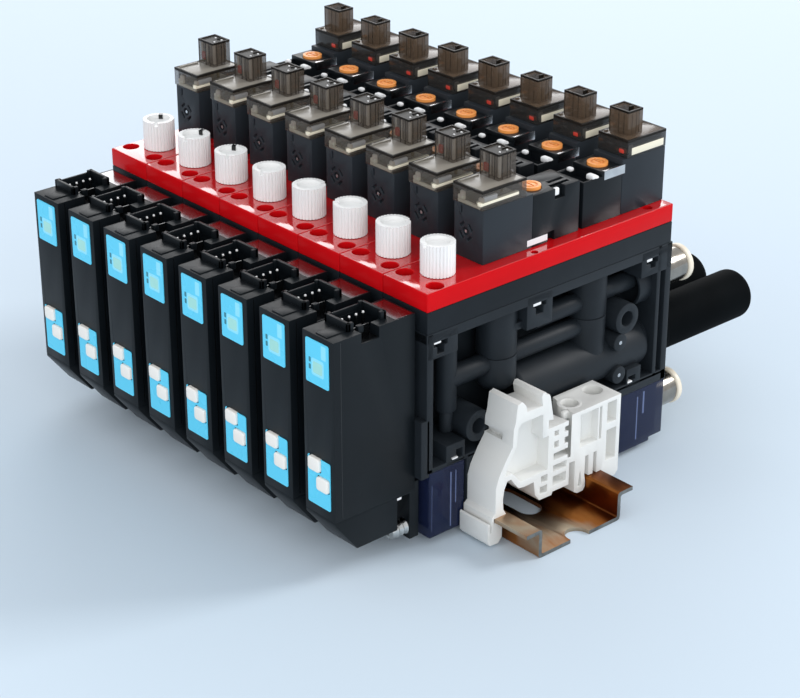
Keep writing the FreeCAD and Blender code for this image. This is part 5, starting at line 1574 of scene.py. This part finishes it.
# %% [markdown]
# Each tube fitting is a nickel sleeve with a cream release ring in its mouth. The ring is a turned
# shape with a deep bore, so it is drawn as a cylinder that is inset and pushed in.

# %% Tube fittings and release rings
HIGH_LEVEL, LOW_LEVEL = 43.7, 9.9
sleeve_parts, ring_parts = [], []
for level, start in ((HIGH_LEVEL, 47.4), (LOW_LEVEL, 45.9)):
    mouth = start + 12.6
    sleeve = rod("sleeve", "y", (start, mouth), (FIRST_X, level), 4.4, 48)
    carve(sleeve, rod("chamber", "y", (start + 4, mouth + 1), (FIRST_X, level), 3.95, 40))
    carve(sleeve, rod("seat", "y", (start + 1, start + 5), (FIRST_X, level), 3.05, 40))
    sleeve_parts.append(soften(sleeve, 0.25, 3))
    ring = rod("ring", "y", (mouth, mouth + 1.7), (FIRST_X, level), 4.75, 48)
    collar = rod("collar", "y", (start + 5, mouth + 0.5), (FIRST_X, level), 3.85, 48)
    soften(ring, 0.45, 3)
    carve(ring, rod("bore", "y", (mouth - 1, mouth + 3), (FIRST_X, level), 3.05, 40))
    carve(ring, rod("flare", "y", (mouth + 1.2, mouth + 1.8), (FIRST_X, level), 3.0, 40, 3.6))
    carve(collar, rod("bore", "y", (start + 4, mouth + 1), (FIRST_X, level), 3.05, 40))
    for part in (ring, collar):
        activate(part)
        bpy.ops.object.shade_smooth_by_angle(angle=math.radians(SMOOTH_BELOW))
    ring_parts += [ring, collar]
dress(station_row(weld("sleeve_row", *sleeve_parts)), nickel, "nickel", replaces=["tube_fittings"])
dress(station_row(weld("ring_row", *ring_parts)), cream_ring, "cream_strip", replaces=["release_rings"])

# %% [markdown]
# The air leaves through a black sintered silencer, a long cylinder with a round end. It scatters the
# light so much that it is almost a shadow, with a short collar where it is screwed in.

# %% Silencers
silencer_low, silencer_high = node_span("silencers")
silencer = rod("silencer", "y", (BODY_REAR, silencer_high[1]), (FIRST_X, NECK_LEVEL), 6.45, 64)
soften(silencer, 2.4, 6)
ridge = soften(rod("ridge", "y", (BODY_REAR, BODY_REAR + 2.4), (FIRST_X, NECK_LEVEL), 6.45, 64), 0.3)
spigot = rod("spigot", "y", (silencer_low[1], BODY_REAR + 1), (FIRST_X, NECK_LEVEL), 4.0, 32)
silencer_row = weld("silencer_row", silencer, ridge, spigot)
dress(station_row(silencer_row), silencer_black, "black_body", replaces=["silencers"])

# %% [markdown]
# The rail is folded sheet. Its section is drawn as an outline with small radii at the folds, and the
# long holes are punched through its floor, one of them cut open by the end of the rail.

# %% Section of the rail
rail_low, rail_high = node_span("din_rail")
HALF, CHANNEL, HIGH, SHEET = 17.5, 13.5, 7.5, 1.0


def rail_section():
    """Corners of the folded sheet, once round."""
    outer = [(-HALF, HIGH), (-HALF, HIGH - SHEET), (-CHANNEL - 0.3, HIGH - SHEET),
             (-CHANNEL, HIGH - SHEET - 0.4), (-CHANNEL, 0.9), (-CHANNEL + 0.3, 0.25), (-CHANNEL + 0.9, 0)]
    half = outer + [(CHANNEL - 0.9, 0), (CHANNEL - 0.3, 0.25), (CHANNEL, 0.9), (CHANNEL, HIGH - SHEET - 0.4),
                    (CHANNEL + 0.3, HIGH - SHEET), (HALF, HIGH - SHEET), (HALF, HIGH)]
    inside = [(CHANNEL - 0.4, HIGH), (CHANNEL - SHEET + 0.1, HIGH - 0.4), (CHANNEL - SHEET, HIGH - 1.2),
              (CHANNEL - SHEET, SHEET + 0.3), (CHANNEL - SHEET - 0.3, SHEET)]
    return half + inside + [(-y, z) for y, z in reversed(inside)]


print("corners of the section:", len(rail_section()))

# %% [markdown]
# The section is pulled to the length of the rail, and long holes are punched at the standard pitch. A
# slot is a block and two rods, cut one after the other. The row starts beyond the near end, which leaves
# the half slot that the photograph shows there.

# %% Punch the long holes
SLOT_PITCH, SLOT_START, SLOT_COUNT = 25.0, 83.7, 7
rail = plate_from_outline("rail", rail_section(), (rail_low[0], rail_high[0]))
for count in range(SLOT_COUNT):
    centre = SLOT_START - count * SLOT_PITCH
    slot = block("slot", (centre - 4.4, centre + 4.4), (-3.1, 3.1), (-1, 2))
    for side in (-1, 1):
        end = rod("slot_end", "z", (-1, 2), (centre + side * 4.4, 0), 3.1, 32)
        carve(rail, end)
    carve(rail, slot)
soften(rail, 0.12)
print("rail faces:", len(rail.data.polygons))

# %% [markdown]
# The rail was sawn to length after plating, so its end faces are bare steel. They are picked by their
# normal and get the second material.

# %% Chromate and bare cut ends
painted(rail, chromate)
rail.data.materials.append(cut_steel)
pick(rail, lambda c, n: abs(n.x) > 0.9 and (c.x > rail_high[0] - 1 or c.x < rail_low[0] + 1))
rail.active_material_index = 1
bpy.ops.object.material_slot_assign()
leave_edit()
dress(rail, None, "chromated_rail", replaces=["din_rail"])

# %% [markdown]
# The white end clamp is one moulding with many windows. Its side view is an outline, the windows are
# cut down to a thin web at the back, and the edges get a soft radius that catches the light.

# %% Outline and windows of the clamp
clamp_high = node_span("end_clamps")[1]
CLAMP = (60.0, clamp_high[0])
WEB = CLAMP[0] + 5.8
OUTLINE = [(-19.6, 1.8), (-18.9, 0.8), (-16.2, 0.6), (-15.1, 2.0), (-15.1, 6.3), (-17.7, 6.3), (-17.7, 7.5),
           (-13.9, 7.5), (-14.8, 9.0), (-15.0, 11.6), (-14.6, 14.1), (-13.7, 16.0), (-12.5, 16.0),
           (-11.2, 14.2), (-10.0, 12.8), (-8.2, 12.5), (-5.1, 12.6), (-4.6, 9.0), (-3.1, 7.0), (0.9, 6.9),
           (1.2, 7.7), (6.6, 7.6), (6.6, 13.4), (8.5, 13.3), (8.5, 4.8), (9.6, 4.1), (11.5, 4.1),
           (12.2, 5.0), (12.2, 6.6), (11.9, 8.2), (12.0, 13.3), (13.1, 13.3), (13.2, 7.7), (14.7, 7.6),
           (14.8, 13.3), (15.9, 13.3), (15.9, 7.5), (17.7, 7.5), (17.7, 6.3), (15.1, 6.3), (15.1, 4.4),
           (22.6, 4.4), (23.5, 5.4), (23.5, 26.0), (6.7, 26.0), (6.7, 24.9), (-0.7, 24.9), (-0.7, 27.3),
           (0.8, 27.0), (-0.4, 33.3), (-0.8, 34.0), (-1.7, 34.2), (-1.9, 34.9), (-2.8, 35.0), (-3.3, 34.1),
           (-2.8, 31.7), (-7.8, 31.9), (-8.3, 33.7), (-9.5, 35.0), (-10.9, 34.6), (-11.5, 30.1),
           (-12.0, 28.8), (-12.2, 24.3), (-14.3, 21.4), (-16.4, 17.9), (-17.3, 15.3), (-17.3, 8.8),
           (-18.4, 8.0), (-18.4, 3.9), (-18.8, 3.9), (-18.9, 6.4), (-19.3, 6.7), (-19.6, 6.3)]
BAY = [(-2.6, 29.5), (-2.6, 23.2), (-0.6, 23.2), (-0.6, 14.3), (-9.6, 14.3), (-11, 16.2), (-12.3, 17.5),
       (-14.6, 17.4), (-13, 20.8), (-10.9, 24.4), (-10.6, 28.4), (-9.6, 29.5)]
HOOK_HOLE = [(10.4, 10.2), (9.7, 5.7), (11.2, 5.6)]
LADDER = [((1.3, 2.8), (22.3, 23.7)), ((4.7, 6.2), (22.3, 23.7)), ((1.3, 2.8), (19.2, 20.9)),
          ((4.7, 6.2), (19.2, 20.9)), ((1.2, 6.2), (16.0, 17.8)), ((1.2, 5.6), (12.9, 14.6)),
          ((1.2, 5.6), (9.2, 11.7)), ((5.9, 6.95), (14.9, 27.0)), ((-2.7, -0.6), (11.4, 13.2)),
          ((-3.0, -0.6), (8.4, 10.4))]
BLOCK_WINDOWS = [(67.2, (9.9, 15.9), (16.2, 24.9)), (67.2, (16.4, 17.2), (16.2, 24.9)),
                 (66.4, (19.0, 22.1), (19.5, 25.0)), (66.4, (19.0, 22.3), (9.5, 17.7))]
print("clamp corners:", len(OUTLINE), "windows:", len(LADDER) + len(BLOCK_WINDOWS) + 2)

# %% [markdown]
# The windows leave a thin web at the back, as in the real moulding, which saves plastic and lets it cool
# evenly. Two come from outlines and the others are blocks. The wedge between the two halves is a block
# whose near face is made narrower.

# %% Cut the windows
clamp = plate_from_outline("end_clamp", OUTLINE, CLAMP)
for corners in (BAY, HOOK_HOLE):
    carve(clamp, plate_from_outline("window", corners, (WEB, CLAMP[1] + 1)))
for floor_x, y, z in [(WEB, *spans) for spans in LADDER] + BLOCK_WINDOWS:
    carve(clamp, block("window", (floor_x, CLAMP[1] + 1), y, z))
carve(clamp, block("notch", (CLAMP[0] - 1, CLAMP[0] + 5.9), (-13.6, -10.8), (24.8, 26.6)))
wedge = block("corner_cut", (CLAMP[0] - 1, CLAMP[1] - 0.1), (4.6, 10.3), (14.9, 27))
pick(wedge, lambda c, n: n.x > 0.9)
bpy.ops.transform.resize(value=(1, 0.3, 1), center_override=(CLAMP[1] * MM, 6.3 * MM, 20 * MM))
leave_edit()
carve(clamp, wedge)
print("clamp faces:", len(clamp.data.polygons))

# %% [markdown]
# A screw goes down through the clamp in a short tube, and a sight hole stands beside it. The tube and a
# post are added after all cuts. The second clamp is a copy at the far end of the row, moved in edit mode
# so that its place is in its mesh.

# %% Screw hole, tube and second clamp
middle = (CLAMP[0] + CLAMP[1]) / 2
carve(clamp, rod("screw_hole", "z", (14.1, 28), (middle, CLAMP_SCREW_Y), 2.6, 36))
carve(clamp, rod("sight_hole", "z", (20, 28), (CLAMP[0] + 3.65, 19.7), 2.5, 36))
soften(clamp, 0.3, 3)
tube = rod("screw_tube", "z", (14.2, 26.02), (middle, CLAMP_SCREW_Y), 3.1, 36)
carve(tube, rod("tube_bore", "z", (14, 28), (middle, CLAMP_SCREW_Y), 2.1, 36))
post = block("post", (66.2, 67.4), (6.3, 8.2), (24.0, 25.9))
clamp = weld("end_clamp", clamp, soften(tube, 0.2), soften(post, 0.2))
activate(clamp)
bpy.ops.object.duplicate()
far_clamp = bpy.context.object
bpy.ops.object.mode_set(mode="EDIT")
bpy.ops.mesh.select_all(action="SELECT")
bpy.ops.transform.translate(value=((-CLAMP[0] - CLAMP[1]) * MM, 0, 0))
leave_edit()
dress(weld("end_clamp_pair", clamp, far_clamp), clamp_white, "white_clamp", replaces=["end_clamps"])

# %% [markdown]
# The floor is a wide pale blue sheet, painted darker near the front and lighter further back as painted
# light, and the camera repeats the photograph's lens and viewpoint.
# One large soft lamp from the right throws the shadow to the left; the world fills the rest.

# %% Floor
# Near tone darker, far tone lighter: a painted falloff of light across the floor.
FLOOR_NEAR_PAINTED_SHADE, FLOOR_FAR_PAINTED_LIGHT = (0.53, 0.635, 0.725), (0.66, 0.735, 0.81)
deselect()
bpy.ops.mesh.primitive_plane_add(size=8, location=(0, 0, 0))
floor = bpy.context.object
floor.name = "floor"
floor_finish, nodes, links, shader, place = new_finish("floor_paint")
turned = nodes.new("ShaderNodeMapping")
turned.inputs["Rotation"].default_value = (0, 0, math.radians(-138.5))
turned.inputs["Scale"].default_value = (0.55, 0.55, 0.55)
turned.inputs["Location"].default_value = (0.42, 0, 0)
painted_light_falloff = nodes.new("ShaderNodeTexGradient")
tones = nodes.new("ShaderNodeValToRGB")
tones.color_ramp.elements[0].color = (*FLOOR_NEAR_PAINTED_SHADE, 1)
tones.color_ramp.elements[1].color = (*FLOOR_FAR_PAINTED_LIGHT, 1)
links.new(place.outputs["Object"], turned.inputs["Vector"])
links.new(turned.outputs["Vector"], painted_light_falloff.inputs["Vector"])
links.new(painted_light_falloff.outputs["Color"], tones.inputs["Fac"])
links.new(tones.outputs["Color"], shader.inputs["Base Color"])
shader.inputs["Roughness"].default_value = 0.9
shader.inputs["Specular IOR Level"].default_value = 0.1
floor.data.materials.append(floor_finish)

print("floor tones:", FLOOR_NEAR_PAINTED_SHADE, FLOOR_FAR_PAINTED_LIGHT)

# %% [markdown]
# An even pale room fills the shadows. Its strength is a little under one, so a colour renders about as
# it is written and white plastic doesn't clip.

# %% Room
world = bpy.data.worlds.new("studio")
world.use_nodes = True
bpy.context.scene.world = world
world.node_tree.nodes["Background"].inputs["Color"].default_value = (0.93, 0.96, 1.0, 1)
world.node_tree.nodes["Background"].inputs["Strength"].default_value = 0.84
print("lights so far:", len(bpy.data.lights))

# %% [markdown]
# The key lamp stands behind on the right and throws the soft shadow to the front left. A weaker lamp at
# the far left gives the tops their sheen, and two fills lift the front and the near side. The fills
# aren't mirrored, because two more bright squares in the glossy parts would look wrong.

# %% Lamps


def lamp(name, place, aim, size, power):
    """A square lamp at a place, aimed at a point."""
    light = bpy.data.lights.new(name, "AREA")
    light.size = size
    light.energy = power
    stand = bpy.data.objects.new(name, light)
    bpy.context.collection.objects.link(stand)
    stand.location = place
    stand.rotation_euler = (Vector(aim) - Vector(place)).to_track_quat("-Z", "Y").to_euler()
    return stand


lamp("key", (1.04, 2.04, 1.5), (0, 0, 0.03), 0.8, 31)
lamp("sheen", (-0.85, 0.75, 0.58), (0, 0, 0.05), 0.7, 4.5)
front_fill = lamp("front_fill", (-0.3, -1.0, 0.5), (0, 0, 0.04), 0.8, 1.8)
near_fill = lamp("near_fill", (1.1, -0.6, 0.5), (0, 0, 0.04), 0.8, 6.5)
for fill in (front_fill, near_fill):
    fill.visible_glossy = False
print("lamps:", len(bpy.data.lights))

# %% [markdown]
# The camera was fitted to the photograph by measuring known corners in it, so the two pictures can be
# laid over each other. Standard view keeps the colours as written.

# %% Camera
AZIMUTH, ELEVATION = 48.49, 25.97
camera_data = bpy.data.cameras.new("camera")
camera_data.lens = 99.2
camera_data.sensor_width = 36
camera = bpy.data.objects.new("camera", camera_data)
bpy.context.collection.objects.link(camera)
camera.location = (0.3832, -0.3242, 0.2644)
camera.rotation_euler = (math.radians(90 - ELEVATION), 0, math.radians(AZIMUTH))
bpy.context.scene.camera = camera
bpy.context.scene.view_settings.view_transform = "Standard"
print("camera", round(camera.location.length, 3), "m from the middle of the rail")
